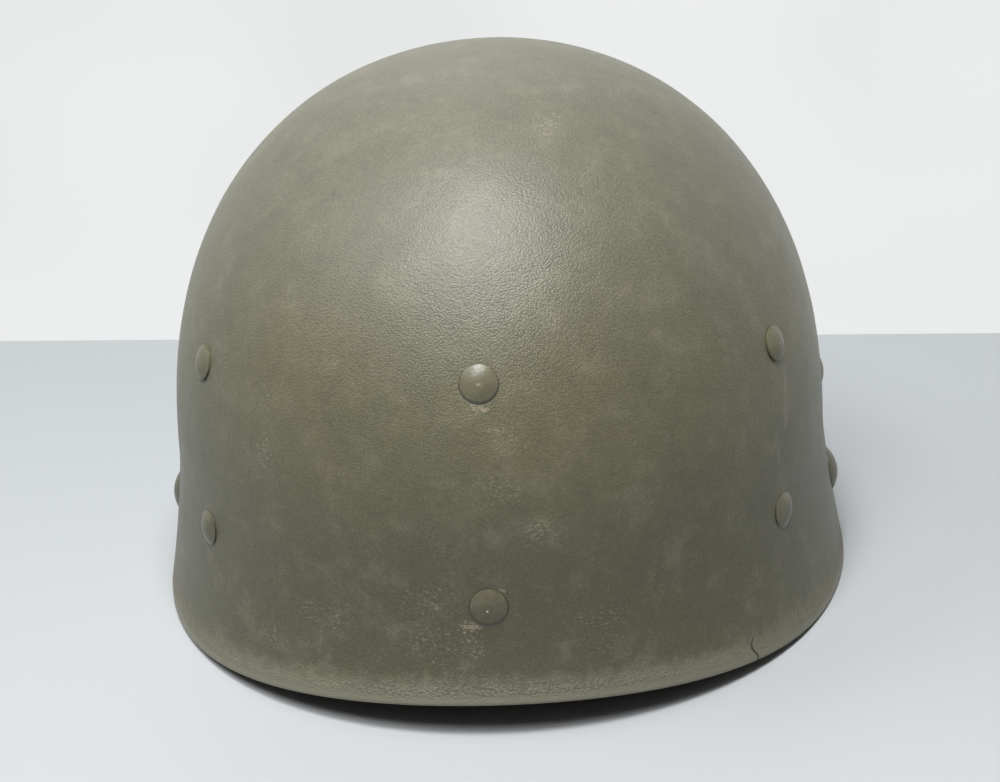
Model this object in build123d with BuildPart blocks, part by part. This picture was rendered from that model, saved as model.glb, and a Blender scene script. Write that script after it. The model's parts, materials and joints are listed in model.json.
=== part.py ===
from build123d import *
from math import asin, atan2, cos, degrees, hypot, radians, sin, sqrt
import os

os.makedirs("parts", exist_ok=True)

# Helmet liner of moulded cotton duck, with its head suspension, headband, nape strap and chin strap.
# Millimetres, +Z up, visor towards -Y, wearer's left towards +X, table at Z = 0.

# Shell
overall_length = 268.6
crown_height = 176.0
waist_height = 49.5
waist_half_width = 108.5
rear_body_reach = 127.7
front_body_reach = 119.0
side_spread = 6.95
wall = 2.6
rear_rim_rise = 10.1
rear_rise_start = 45.5
visor_rise = 24.0
visor_rise_start = 30.0
visor_top = 56.0
visor_bottom = 8.0
overrun = 12.0

# How the shell's curves bend
crown_height_share = 2.31
crown_reach_share = 2.12
side_flare_share = 1.34
rear_flare_share = 2.37
low_section_shares = (0.0, 0.25, 0.5, 0.75, 1.0)
crown_section_angles = (12, 26, 40, 52, 62, 71, 78, 83, 87)

# Rivet places on the outside of the shell
crown_rivet_height = 107.9
flank_rivet_height = 95.5
rear_flank_rivet_y = 60.5
front_flank_rivet_y = -57.0
nape_rivet_height = 40.3
nape_flank_rivet_height = 42.5
nape_flank_rivet_y = 69.5
side_rivet_height = 60.0
side_rivet_y = -5.5
chin_stud_height = 26.8
chin_stud_y = 1.6

# Rivets and studs
rivet_head_radius = 5.7
rivet_head_height = 2.1
rivet_head_edge = 0.5
rivet_shank_radius = 1.9
clinch_radius = 3.4
clinch_height = 1.0
spot_depth = 0.3
spot_clearance = 0.3
hole_clearance = 0.1
seat_gap = 0.12
chin_stud_radius = 7.2
chin_stud_head_height = 3.0
chin_stud_shank_radius = 2.6
chin_stud_foot_radius = 4.0
chin_stud_foot_height = 0.8
chin_button_radius = 5.2
chin_button_height = 1.5

# Washers
washer = 0.8
a_washer_base = 26.0
a_washer_top = 9.0
a_washer_drop = 13.4
a_washer_peak = 7.0
a_washer_corner = 2.0
a_window_base = 12.0
a_window_bottom = 10.2
a_window_top = 5.0
nape_washer_width = 16.0
nape_washer_height = 12.0
nape_washer_corner = 1.5
side_washer_radius = 6.5
chin_washer_radius = 7.5

# Suspension webbing
web = 1.2
band_bottom = 56.0
band_height = 24.0
band_corner_out = 3.8
crown_strap_width = 21.0
crown_strap_above_rivet = 13.0
crown_strap_start_above_rivet = 10.0
crown_strap_lift = 0.7
crown_strap_start_share = 0.6
crown_strap_end_share = 0.6
crown_strap_station_shares = (0.0, 0.15, 0.35, 0.6, 0.8, 1.0)

# Crown lace
lace_height = 143.0
lace_ring_radius = 27.0
lace_radius = 1.5
lace_clearance = 0.3
lace_bend = 7.0
lace_knot_radius = 3.0
lace_tail_reach = 16.0
lace_tail_drop = 7.0
lace_tail_angle = 24.0

# Headband
headband_rear_end_radius = 80.0
headband_front_end_radius = 76.0
headband_bottom = 38.0
headband_height = 38.0
headband_seat_gap = 0.2
headband_end_left_angle = 22.0
headband_end_right_angle = 16.0
leather = 1.6
sweatband_lift = 1.0
sweatband_height = 28.0
sweatband_opening = 70.0
clip_sheet = 0.6
clip_width = 12.0
clip_drop = 11.0
clip_clearance = 1.3
clip_side_shift = 9.0
headband_buckle_angle = 91.0

# Nape strap
nape_stand_off = 5.0
nape_strap_bottom = 31.0
nape_strap_height = 19.0
nape_strap_past_snap = 13.0
nape_post_radius = 2.2
nape_snap_radius = 5.2
nape_snap_height = 1.7
nape_snap_cover = 0.7
nape_buckle_angle = 60.0

# Side straps, from the side rivets to the suspension band
side_strap_width = 15.0
side_strap_bottom = 51.0
side_strap_patch_top = 70.5
side_strap_leave = 68.5
side_strap_meet = 74.0
side_strap_top = 79.0
side_strap_lift = 0.9

# Chin strap
chin_leather = 1.8
chin_strap_width = 14.0
chin_layer_gap = 0.1
chin_side_gap = 0.4
chin_table_gap = 0.4
chin_strap_past_stud = 9.0
chin_eyelet_radius = 4.6
chin_eyelet = 2.2
chin_long_start_angle = 26.0
chin_short_end_angle = 62.0
chin_buckle_angle = 48.0
chin_keeper_angle = 30.0
chin_keeper_length = 6.0
chin_keeper_leather = 1.2

# Three-bar slides
slide_length = 17.0
slide_bar = 3.2
slide_sheet = 1.2
slide_rail = 1.6
slide_clearance = 0.3


def save(part, name):
    part.label = name
    export_step(part, f"parts/{name}.step")
    print(name, len(part.solids()), round(part.volume))


def together(pieces):
    with BuildPart() as group:
        for piece in pieces:
            add(piece)
    return group.part


# Shell form

def flare(height):
    share = min(max((visor_top - height) / (visor_top - visor_bottom), 0), 1)
    return share * share * (3 - 2 * share)


def crown(height, inset):
    top = crown_height - inset
    share = min(max((height - waist_height) / (top - waist_height), 0), 1)
    return (1 - share**crown_height_share) ** (1 / crown_reach_share)


def half_width(height, inset):
    low = max((waist_height - height) / waist_height, 0)
    return (waist_half_width - inset) * crown(height, inset) + side_spread * low**side_flare_share


def rear_reach(height, inset):
    spread = overall_length / 2 - rear_body_reach
    low = max((waist_height - height) / (waist_height - rear_rim_rise), 0)
    return (rear_body_reach - inset) * crown(height, inset) + spread * low**rear_flare_share


def front_reach(height, inset):
    spread = (overall_length / 2 - front_body_reach) / flare(visor_rise)
    return (front_body_reach - inset) * crown(height, inset) + spread * flare(height)


def dome(inset):
    """All that lies inside the shell's outer face, set in by an inset."""
    top = crown_height - inset
    foot = overrun / 2 + inset
    heights = [(waist_height + foot) * share - foot for share in low_section_shares]
    heights += [waist_height + (top - waist_height) * sin(radians(a)) for a in crown_section_angles]
    faces = []
    for height in heights:
        width = half_width(height, inset)
        with BuildSketch(Plane.XY.offset(height)) as section:
            with BuildLine():
                EllipticalCenterArc((0, 0), width, rear_reach(height, inset), start_angle=0, arc_size=180)
                EllipticalCenterArc((0, 0), width, front_reach(height, inset), start_angle=180, arc_size=180)
            make_face()
        faces.append(section.sketch.face())
    with BuildPart() as body:
        loft(faces + [Vertex(0, 0, top)])
    return body.part


outer_dome = dome(0)
inner_dome = dome(wall)
web_dome = dome(wall + web)
band_dome = dome(wall + 2 * web)
web_washer_dome = dome(wall + web + washer)
bare_washer_dome = dome(wall + washer)


def layer(outer, inner):
    with BuildPart() as skin:
        add(outer)
        add(inner, mode=Mode.SUBTRACT)
    return skin.part


web_layer = layer(inner_dome, web_dome)
web_washer_layer = layer(web_dome, web_washer_dome)
bare_washer_layer = layer(inner_dome, bare_washer_dome)


def hit(form, start, way):
    """Point and normal where a ray from inside leaves the form."""
    return form.find_intersection_points(Axis(start, way))[-1]


def seat(start, way):
    """Plane on the outside of the shell, x level along it and z square out of it."""
    point, normal = hit(outer_dome, start, way)
    return Plane(origin=point, x_dir=Vector(0, 0, 1).cross(normal), z_dir=normal)


def depth(place, form):
    """Distance square in from the outside of the shell to the face of the form."""
    point, _ = form.find_intersection_points(Axis(place.origin, place.z_dir * -1))[0]
    return (point - place.origin).length


left = (1, 0, 0)
right = (-1, 0, 0)
rear = (0, 1, 0)
front = (0, -1, 0)
suspension_seats = {
    "rear": seat((0, 0, crown_rivet_height), rear),
    "rear_left": seat((0, rear_flank_rivet_y, flank_rivet_height), left),
    "front_left": seat((0, front_flank_rivet_y, flank_rivet_height), left),
    "front": seat((0, 0, crown_rivet_height), front),
    "front_right": seat((0, front_flank_rivet_y, flank_rivet_height), right),
    "rear_right": seat((0, rear_flank_rivet_y, flank_rivet_height), right),
}
side_seats = {
    "left": seat((0, side_rivet_y, side_rivet_height), left),
    "right": seat((0, side_rivet_y, side_rivet_height), right),
}
nape_seats = {
    "rear": seat((0, 0, nape_rivet_height), rear),
    "left": seat((0, nape_flank_rivet_y, nape_flank_rivet_height), left),
    "right": seat((0, nape_flank_rivet_y, nape_flank_rivet_height), right),
}
chin_seats = {
    "left": seat((0, chin_stud_y, chin_stud_height), left),
    "right": seat((0, chin_stud_y, chin_stud_height), right),
}


# Shell

def rim_line(start, rise, way):
    """Arc of the rim in side view, from its level stretch to past the end of the shell."""
    run = overall_length / 2 - start
    radius = (run * run + rise * rise) / (2 * rise)
    reach = run + overrun
    end = (way * (start + reach), radius - sqrt(radius * radius - reach * reach))
    TangentArc((way * start, 0), end, tangent=(way, 0))
    return end


def rim_cutter():
    with BuildPart() as cutter:
        with BuildSketch(Plane.YZ):
            with BuildLine():
                rear_end = rim_line(rear_rise_start, rear_rim_rise, 1)
                front_end = rim_line(visor_rise_start, visor_rise, -1)
                Line((-visor_rise_start, 0), (rear_rise_start, 0))
                below = -2 * overrun
                Polyline(rear_end, (rear_end[0], below), (front_end[0], below), front_end)
            make_face()
        extrude(amount=overall_length, both=True)
    return cutter.part


def shell():
    fasteners = [(place, rivet_head_radius, rivet_shank_radius) for place in suspension_seats.values()]
    fasteners += [(place, rivet_head_radius, rivet_shank_radius) for place in side_seats.values()]
    fasteners += [(place, rivet_head_radius, rivet_shank_radius) for place in nape_seats.values()]
    fasteners += [(place, chin_stud_radius, chin_stud_shank_radius) for place in chin_seats.values()]
    with BuildPart() as body:
        add(layer(outer_dome, inner_dome))
        add(rim_cutter(), mode=Mode.SUBTRACT)
        for place, head_radius, shank_radius in fasteners:
            with BuildSketch(place.offset(-spot_depth)):
                Circle(head_radius + spot_clearance)
            extrude(amount=overrun, mode=Mode.SUBTRACT)
            with BuildSketch(place):
                Circle(shank_radius + hole_clearance)
            extrude(amount=overrun, both=True, mode=Mode.SUBTRACT)
    return body.part


# Rivets, studs and washers

def stepped_pin(place, head_radius, head_height, steps):
    """Domed head on the outside of the shell, then round steps, each a radius and the depth it ends at."""
    top = head_height - spot_depth
    edge = rivet_head_edge - spot_depth
    outline = [(head_radius, edge), (head_radius, -spot_depth)]
    start = spot_depth
    for radius, end in steps:
        outline += [(radius, -start), (radius, -end)]
        start = end
    with BuildPart() as pin:
        with BuildSketch(Plane.XZ):
            with BuildLine():
                TangentArc((0, top), (head_radius, edge), tangent=(1, 0))
                Polyline(*outline, (0, -start), (0, top))
            make_face()
        revolve(axis=Axis.Z)
    return pin.part.moved(place.location)


def clinched_rivet(place, form):
    grip = depth(place, form) + seat_gap
    steps = [(rivet_shank_radius, grip), (clinch_radius, grip + clinch_height)]
    return stepped_pin(place, rivet_head_radius, rivet_head_height, steps)


def a_washer(place):
    with BuildPart() as plate:
        with BuildSketch(place) as outline:
            with BuildLine():
                Polyline(
                    (-a_washer_base / 2, -a_washer_drop),
                    (a_washer_base / 2, -a_washer_drop),
                    (a_washer_top / 2, a_washer_peak),
                    (-a_washer_top / 2, a_washer_peak),
                    close=True,
                )
            make_face()
            fillet(outline.vertices(), a_washer_corner)
            with BuildLine():
                Polyline(
                    (-a_window_base / 2, -a_window_bottom),
                    (a_window_base / 2, -a_window_bottom),
                    (0, -a_window_top),
                    close=True,
                )
            make_face(mode=Mode.SUBTRACT)
            Circle(rivet_shank_radius + hole_clearance, mode=Mode.SUBTRACT)
        extrude(amount=-overrun)
        add(web_washer_layer, mode=Mode.INTERSECT)
    return plate.part


def round_washer(place, radius, bore, skin):
    with BuildPart() as plate:
        with BuildSketch(place):
            Circle(radius)
            Circle(bore, mode=Mode.SUBTRACT)
        extrude(amount=-overrun)
        add(skin, mode=Mode.INTERSECT)
    return plate.part


def nape_washer(place):
    with BuildPart() as plate:
        with BuildSketch(place):
            RectangleRounded(nape_washer_width, nape_washer_height, nape_washer_corner)
            Circle(rivet_shank_radius + hole_clearance, mode=Mode.SUBTRACT)
        extrude(amount=-overrun)
        add(bare_washer_layer, mode=Mode.INTERSECT)
    return plate.part


# Suspension band, a six-cornered ring of webbing that lies on the shell at its corners

def azimuth(place):
    return atan2(place.origin.X, place.origin.Y)


def level(angle, radius, height):
    """Point at an angle from the rear, seen from above."""
    return Vector(radius * sin(angle), radius * cos(angle), height)


def band_corner(place):
    height = band_bottom + band_height / 2
    ray = level(azimuth(place), 1, 0)
    point, _ = hit(web_dome, (0, 0, height), ray)
    return level(azimuth(place), hypot(point.X, point.Y) + band_corner_out, 0)


band_corners = [band_corner(place) for place in suspension_seats.values()]


def band_core(form, bottom, height):
    inset = web if form is band_dome else 0
    with BuildPart() as core:
        with BuildSketch(Plane.XY.offset(bottom)):
            Polygon(*[(c.X, c.Y) for c in band_corners], align=None)
            if inset:
                offset(amount=-inset, kind=Kind.INTERSECTION, mode=Mode.REPLACE)
        extrude(amount=height)
        add(form, mode=Mode.INTERSECT)
    return core.part


def suspension_band():
    with BuildPart() as band:
        add(band_core(web_dome, band_bottom, band_height))
        add(band_core(band_dome, band_bottom - overrun, band_height + 2 * overrun), mode=Mode.SUBTRACT)
    return band.part


# Crown straps, each from under its A-washer to a hem round the crown lace

hem_bore = lace_radius + lace_clearance
hem_radius = hem_bore + web


def crown_strap(place):
    angle = azimuth(place)
    radial = level(angle, 1, 0)
    across = Vector(0, 0, 1).cross(radial)
    top = place.origin.Z + crown_strap_above_rivet
    start, normal = hit(web_dome, (0, 0, place.origin.Z + crown_strap_start_above_rivet), radial)
    start -= normal * (crown_strap_lift - web / 2)
    wall_across = Vector(0, 0, 1).cross(normal).normalized()
    end = level(angle, lace_ring_radius, lace_height + hem_radius - web / 2)
    path = Spline(
        start,
        end,
        tangents=(normal.cross(wall_across), radial * -1),
        tangent_scalars=(crown_strap_start_share, crown_strap_end_share),
    )
    stations = []
    for share in crown_strap_station_shares:
        way = (path % share).normalized()
        flat = wall_across * (1 - share) + across * share
        flat = (flat - way * flat.dot(way)).normalized()
        with BuildSketch(Plane(origin=path @ share, x_dir=flat, z_dir=way)) as station:
            Rectangle(crown_strap_width, web)
        stations.append(station.sketch.face())
    turned = Plane(origin=(0, 0, 0), x_dir=across, z_dir=radial)
    hem_place = Plane(origin=level(angle, lace_ring_radius, lace_height), x_dir=radial, z_dir=across)
    with BuildPart() as strap:
        with BuildSketch(turned):
            with Locations((0, (band_bottom + top) / 2)):
                Rectangle(crown_strap_width, top - band_bottom)
        extrude(amount=overall_length)
        add(web_layer, mode=Mode.INTERSECT)
        loft(stations)
        with BuildSketch(hem_place):
            Circle(hem_radius)
        extrude(amount=crown_strap_width / 2, both=True)
        with BuildSketch(hem_place):
            Circle(hem_bore)
        extrude(amount=crown_strap_width, both=True, mode=Mode.SUBTRACT)
        with BuildSketch(place):
            Circle(rivet_shank_radius + hole_clearance)
        extrude(amount=-overrun, mode=Mode.SUBTRACT)
    return strap.part


def crown_lace():
    angles = [azimuth(place) % radians(360) for place in suspension_seats.values()]
    corners = []
    for first, second in zip(angles, angles[1:] + [angles[0] + radians(360)]):
        radius = lace_ring_radius / cos((second - first) / 2)
        corners.append(level((first + second) / 2, radius, lace_height))
    knot = corners[1]
    with BuildPart() as lace:
        with BuildLine() as ring:
            Polyline(*corners, close=True)
            fillet(ring.vertices(), lace_bend)
        with BuildSketch(Plane(origin=ring.line @ 0, z_dir=ring.line % 0)):
            Circle(lace_radius)
        sweep(path=ring.wire())
        with Locations(knot):
            Sphere(lace_knot_radius)
        for turn in (-lace_tail_angle, lace_tail_angle):
            way = Vector(-knot.X, -knot.Y, 0).normalized().rotate(Axis.Z, turn)
            with BuildLine() as tail:
                Bezier(knot, knot + way * lace_tail_reach, knot + way * lace_tail_reach - (0, 0, lace_tail_drop))
            with BuildSketch(Plane(origin=tail.line @ 0, z_dir=tail.line % 0)):
                Circle(lace_radius)
            sweep(path=tail.wire())
    return lace.part


# Arcs of strap that stand on edge round an upright axis, angles from +X

def arc_band(inner, outer, low, high, start, sweep_angle):
    turn = radians(start)
    along = Plane(origin=(0, 0, 0), x_dir=(cos(turn), sin(turn), 0), z_dir=(sin(turn), -cos(turn), 0))
    with BuildPart() as band:
        with BuildSketch(along):
            with Locations(((inner + outer) / 2, (low + high) / 2)):
                Rectangle(outer - inner, high - low)
        revolve(axis=Axis.Z, revolution_arc=sweep_angle)
    return band.part


def slide(inner, outer, low, high, angle):
    """Three-bar slide round a band: rails along its edges, end bars outside it and one bar inside it."""
    middle = (inner + outer) / 2
    spread = degrees(slide_length / middle)
    bar = degrees(slide_bar / middle)
    pass_in = inner - slide_clearance
    pass_out = outer + slide_clearance
    pass_low = low - slide_clearance
    pass_high = high + slide_clearance
    start = angle - spread / 2
    with BuildPart() as frame:
        add(arc_band(
            pass_in - slide_sheet,
            pass_out + slide_sheet,
            pass_low - slide_rail,
            pass_high + slide_rail,
            start,
            spread,
        ))
        passage = arc_band(pass_in, pass_out, pass_low, pass_high, start - bar, spread + 2 * bar)
        window = arc_band(pass_out, pass_out + overrun, pass_low, pass_high, start + bar, spread - 2 * bar)
        add([passage, window], mode=Mode.SUBTRACT)
        for open_start in (start - bar, angle + bar / 2):
            window = arc_band(pass_in - overrun, pass_in, pass_low, pass_high, open_start, spread / 2 + bar / 2)
            add(window, mode=Mode.SUBTRACT)
    return frame.part


# Headband, an oval that touches the inside of the suspension band under each clip

def chord(first, second):
    """Middle of the inside of one side of the suspension band, its outward way and its distance."""
    along = (second - first).normalized()
    out = along.cross(Vector(0, 0, 1))
    if out.dot(first) < 0:
        out *= -1
    return along, out, first.dot(out) - web


chords = [chord(c, d) for c, d in zip(band_corners, band_corners[1:] + band_corners[:1])]


def end_reach(side, end_radius):
    _, out, distance = chords[side]
    return (distance - headband_seat_gap - end_radius) / abs(out.Y) + end_radius


headband_half_width = chords[1][2] - headband_seat_gap
headband_rear = end_reach(0, headband_rear_end_radius)
headband_front = end_reach(2, headband_front_end_radius)
headband_rear_middle = headband_rear - headband_rear_end_radius


def oval(inset):
    """Half-ovals of three arcs each, the rear one longer than the front one."""
    width = headband_half_width - inset
    ends = ((headband_rear, headband_rear_end_radius, 1), (headband_front, headband_front_end_radius, -1))
    for reach, end_radius, way in ends:
        radius = end_radius - inset
        tip = reach - inset
        side_radius = (width**2 + tip**2 - 2 * tip * radius) / (2 * (width - radius))
        turn = atan2(side_radius - width, tip - radius)
        joint = (radius * sin(turn), way * (tip - radius + radius * cos(turn)))
        ThreePointArc((-joint[0], joint[1]), (0, way * tip), joint)
        half_turn = (radians(90) - turn) / 2
        bulge = (width - side_radius * (1 - cos(half_turn)), way * side_radius * sin(half_turn))
        for side in (1, -1):
            ThreePointArc((side * joint[0], joint[1]), (side * bulge[0], bulge[1]), (side * width, 0))


def oval_ring(outer_inset, inner_inset, bottom, height):
    with BuildPart() as ring:
        with BuildSketch(Plane.XY.offset(bottom)):
            with BuildLine():
                oval(outer_inset)
            make_face()
            with BuildLine():
                oval(inner_inset)
            make_face(mode=Mode.SUBTRACT)
        extrude(amount=height)
    return ring.part


def sweatband():
    bottom = headband_bottom + sweatband_lift
    with BuildPart() as band:
        add(oval_ring(web, web + leather, bottom, sweatband_height))
        with BuildSketch(Plane.XY.offset(bottom)):
            with Locations((0, headband_rear)):
                Rectangle(sweatband_opening, headband_rear_end_radius)
        extrude(amount=sweatband_height, mode=Mode.SUBTRACT)
    return band.part


def headband_end():
    band = arc_band(
        headband_rear_end_radius,
        headband_rear_end_radius + web,
        headband_bottom,
        headband_bottom + headband_height,
        90 - headband_end_left_angle,
        headband_end_left_angle + headband_end_right_angle,
    )
    return band.moved(Location((0, headband_rear_middle, 0)))


def headband_buckle():
    buckle = slide(
        headband_rear_end_radius - web,
        headband_rear_end_radius + web,
        headband_bottom,
        headband_bottom + headband_height,
        headband_buckle_angle,
    )
    return buckle.moved(Location((0, headband_rear_middle, 0)))


def headband_clip(side):
    """Folded spring sheet over the top of the suspension band, gripping the headband inside it."""
    along, out, distance = chords[side]
    if abs(out.Y) < abs(out.X) / 2:
        back = along if along.Y > 0 else along * -1
        foot = out * distance + back * clip_side_shift
    else:
        radius = headband_rear_end_radius if out.Y > 0 else headband_front_end_radius
        reach = headband_rear if out.Y > 0 else -headband_front
        middle = Vector(0, reach - radius if out.Y > 0 else reach + radius, 0)
        foot = middle + out * (distance - middle.dot(out))
    top = band_bottom + band_height + seat_gap
    outer = web + seat_gap
    inner = -headband_seat_gap - web - clip_clearance
    bottom = top - clip_drop
    with BuildPart() as clip:
        with BuildSketch(Plane(origin=foot, x_dir=out, z_dir=out.cross(Vector(0, 0, 1)))):
            with BuildLine():
                Polyline(
                    (outer, bottom),
                    (outer + clip_sheet, bottom),
                    (outer + clip_sheet, top + clip_sheet),
                    (inner - clip_sheet, top + clip_sheet),
                    (inner - clip_sheet, bottom),
                    (inner, bottom),
                    (inner, top),
                    (outer, top),
                    close=True,
                )
            make_face()
        extrude(amount=clip_width / 2, both=True)
    return clip.part


# Nape strap, an arc through the three press studs inside the rear of the shell

def nape_point(place):
    return place.origin - place.z_dir * (depth(place, inner_dome) + nape_stand_off)


nape_middle_point = nape_point(nape_seats["rear"])
nape_flank_point = nape_point(nape_seats["left"])
nape_sag = nape_middle_point.Y - nape_flank_point.Y
nape_radius = (nape_flank_point.X**2 + nape_sag**2) / (2 * nape_sag)
nape_center = nape_middle_point.Y - nape_radius


def nape_cap_gap(place):
    """Distance of a press stud's cap from the strap, which stands at a slant to the stud."""
    upright = Vector(place.origin.X, place.origin.Y - nape_center, 0)
    slant = sin(radians(upright.get_angle(place.z_dir)))
    return nape_snap_radius * slant + nape_snap_radius**2 / (2 * nape_radius) + seat_gap


def nape_rivet(place):
    washer_end = depth(place, bare_washer_dome) + seat_gap
    strap_end = depth(place, inner_dome) + nape_stand_off + web
    steps = [
        (rivet_shank_radius, washer_end),
        (clinch_radius, washer_end + clinch_height),
        (nape_post_radius, strap_end + nape_cap_gap(place) + nape_snap_height - nape_snap_cover),
    ]
    return stepped_pin(place, rivet_head_radius, rivet_head_height, steps)


def nape_snap(place):
    strap_end = depth(place, inner_dome) + nape_stand_off + web
    gap = nape_cap_gap(place)
    with BuildPart() as cap:
        with BuildSketch(place.offset(-strap_end - gap)):
            Circle(nape_snap_radius)
        extrude(amount=-nape_snap_height)
        fillet(cap.faces().sort_by(Axis(place.origin, place.z_dir))[0].edges(), nape_snap_cover)
        with BuildSketch(place.offset(-strap_end)):
            Circle(nape_post_radius + hole_clearance)
        extrude(amount=-gap - nape_snap_height + nape_snap_cover - seat_gap, mode=Mode.SUBTRACT)
    return cap.part


def nape_strap():
    flank = atan2(nape_flank_point.Y - nape_center, nape_flank_point.X)
    start = degrees(flank - nape_strap_past_snap / nape_radius)
    top = nape_strap_bottom + nape_strap_height
    with BuildPart() as strap:
        with Locations((0, nape_center, 0)):
            add(arc_band(nape_radius - web, nape_radius, nape_strap_bottom, top, start, 180 - 2 * start))
        for place in nape_seats.values():
            with BuildSketch(place.offset(-nape_stand_off)):
                Circle(nape_post_radius + slide_clearance)
            extrude(amount=-overrun, mode=Mode.SUBTRACT)
    return strap.part


def nape_buckle():
    top = nape_strap_bottom + nape_strap_height
    frame = slide(nape_radius - web, nape_radius, nape_strap_bottom, top, nape_buckle_angle)
    return frame.moved(Location((0, nape_center, 0)))


# Side straps, from under the side washers across to the suspension band

def side_strap(place):
    way = 1 if place.origin.X > 0 else -1
    band_face = chords[1][2] + web
    leave, _ = hit(inner_dome, (0, side_rivet_y, side_strap_leave), (way, 0, 0))
    wall_x = abs(leave.X) - web / 2 - side_strap_lift
    band_x = band_face + web / 2 + seat_gap
    with BuildPart() as strap:
        with BuildSketch(Plane(origin=(0, side_rivet_y, 0), x_dir=(0, way, 0), z_dir=(way, 0, 0))):
            with Locations((0, (side_strap_bottom + side_strap_patch_top) / 2)):
                Rectangle(side_strap_width, side_strap_patch_top - side_strap_bottom)
        extrude(amount=overall_length)
        add(web_layer, mode=Mode.INTERSECT)
        with BuildSketch(Plane(origin=(0, side_rivet_y, 0), x_dir=(way, 0, 0), z_dir=(0, -way, 0))):
            with BuildLine() as run:
                FilletPolyline(
                    (wall_x, side_strap_leave),
                    (wall_x, side_strap_patch_top),
                    (band_x, side_strap_meet),
                    (band_x, side_strap_top),
                    radius=web,
                )
            trace(lines=run.line, line_width=web)
        extrude(amount=side_strap_width / 2, both=True)
        with BuildSketch(place):
            Circle(rivet_shank_radius + hole_clearance)
        extrude(amount=-overrun, mode=Mode.SUBTRACT)
    return strap.part


# Chin strap, a half ring of leather on edge that hangs on the two studs and lies on the table inside the visor

left_stud = chin_seats["left"]
chin_foot_depth = depth(left_stud, bare_washer_dome) + seat_gap
pivot = left_stud.origin - left_stud.z_dir * (chin_foot_depth + chin_stud_foot_height)
stud_tilt = left_stud.z_dir.Z
chin_face = pivot.X - chin_stud_foot_radius * stud_tilt - chin_side_gap
chin_short_radius = chin_face - chin_eyelet / 2
chin_long_radius = chin_short_radius - chin_leather - chin_layer_gap
chin_reach = hypot(chin_short_radius + chin_leather / 2, chin_strap_width / 2)
chin_corner = atan2(chin_strap_width, 2 * chin_short_radius + chin_leather)
chin_tilt = asin((pivot.Z - chin_table_gap) / chin_reach) - chin_corner
chin_place = Plane(
    origin=(0, pivot.Y, pivot.Z),
    x_dir=(1, 0, 0),
    z_dir=(0, sin(chin_tilt), -cos(chin_tilt)),
)
neck_end = chin_long_radius - chin_eyelet / 2 - chin_side_gap


def chin_stud(place):
    way = 1 if place.origin.X > 0 else -1
    steps = [
        (chin_stud_shank_radius, chin_foot_depth),
        (chin_stud_foot_radius, chin_foot_depth + chin_stud_foot_height),
    ]
    with BuildPart() as stud:
        add(stepped_pin(place, chin_stud_radius, chin_stud_head_height, steps))
        with BuildSketch(Plane(origin=(way * neck_end, pivot.Y, pivot.Z), z_dir=(way, 0, 0))):
            Circle(chin_stud_shank_radius)
        extrude(amount=pivot.X + chin_stud_foot_height / 2 - neck_end)
        with BuildSketch(Plane(origin=(way * neck_end, pivot.Y, pivot.Z), z_dir=(-way, 0, 0))):
            Circle(chin_button_radius)
        extrude(amount=chin_button_height)
    return stud.part


def chin_leather_arc(radius, start, end, stud_way):
    """Piece of the strap between two angles, with the hole for its eyelet at the stud's end."""
    half = chin_strap_width / 2
    with BuildPart() as piece:
        add(arc_band(radius - chin_leather / 2, radius + chin_leather / 2, -half, half, start, end - start))
        with BuildSketch(Plane(origin=(0, 0, 0), z_dir=(stud_way, 0, 0))):
            Circle(chin_eyelet_radius)
        extrude(amount=overall_length, mode=Mode.SUBTRACT)
    return piece.part


def chin_strap_short():
    back = degrees(chin_strap_past_stud / chin_short_radius)
    piece = chin_leather_arc(chin_short_radius, -back, chin_short_end_angle, 1)
    return piece.moved(chin_place.location)


def chin_strap_long():
    back = degrees(chin_strap_past_stud / chin_long_radius)
    piece = chin_leather_arc(chin_long_radius, chin_long_start_angle, 180 + back, -1)
    return piece.moved(chin_place.location)


def chin_eyelets():
    with BuildPart() as eyelets:
        for radius, way in ((chin_short_radius, 1), (chin_long_radius, -1)):
            with BuildSketch(Plane(origin=(way * (radius - chin_eyelet / 2), 0, 0), z_dir=(way, 0, 0))):
                Circle(chin_eyelet_radius)
                Circle(chin_stud_shank_radius + hole_clearance, mode=Mode.SUBTRACT)
            extrude(amount=chin_eyelet)
    return eyelets.part.moved(chin_place.location)


def chin_band():
    """Inner and outer radius and half height of the two layers of the chin strap."""
    return chin_long_radius - chin_leather / 2, chin_short_radius + chin_leather / 2, chin_strap_width / 2


def chin_buckle():
    inner, outer, half = chin_band()
    return slide(inner, outer, -half, half, chin_buckle_angle).moved(chin_place.location)


def chin_strap_keeper():
    inner, outer, half = chin_band()
    gap = chin_layer_gap
    skin = chin_keeper_leather
    spread = degrees(chin_keeper_length / outer)
    start = chin_keeper_angle - spread / 2
    passage = arc_band(inner - gap, outer + gap, -half - gap, half + gap, start - spread, 3 * spread)
    with BuildPart() as keeper:
        add(arc_band(inner - gap - skin, outer + gap + skin, -half - gap - skin, half + gap + skin, start, spread))
        add(passage, mode=Mode.SUBTRACT)
    return keeper.part.moved(chin_place.location)


# Every piece, under its own name

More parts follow.
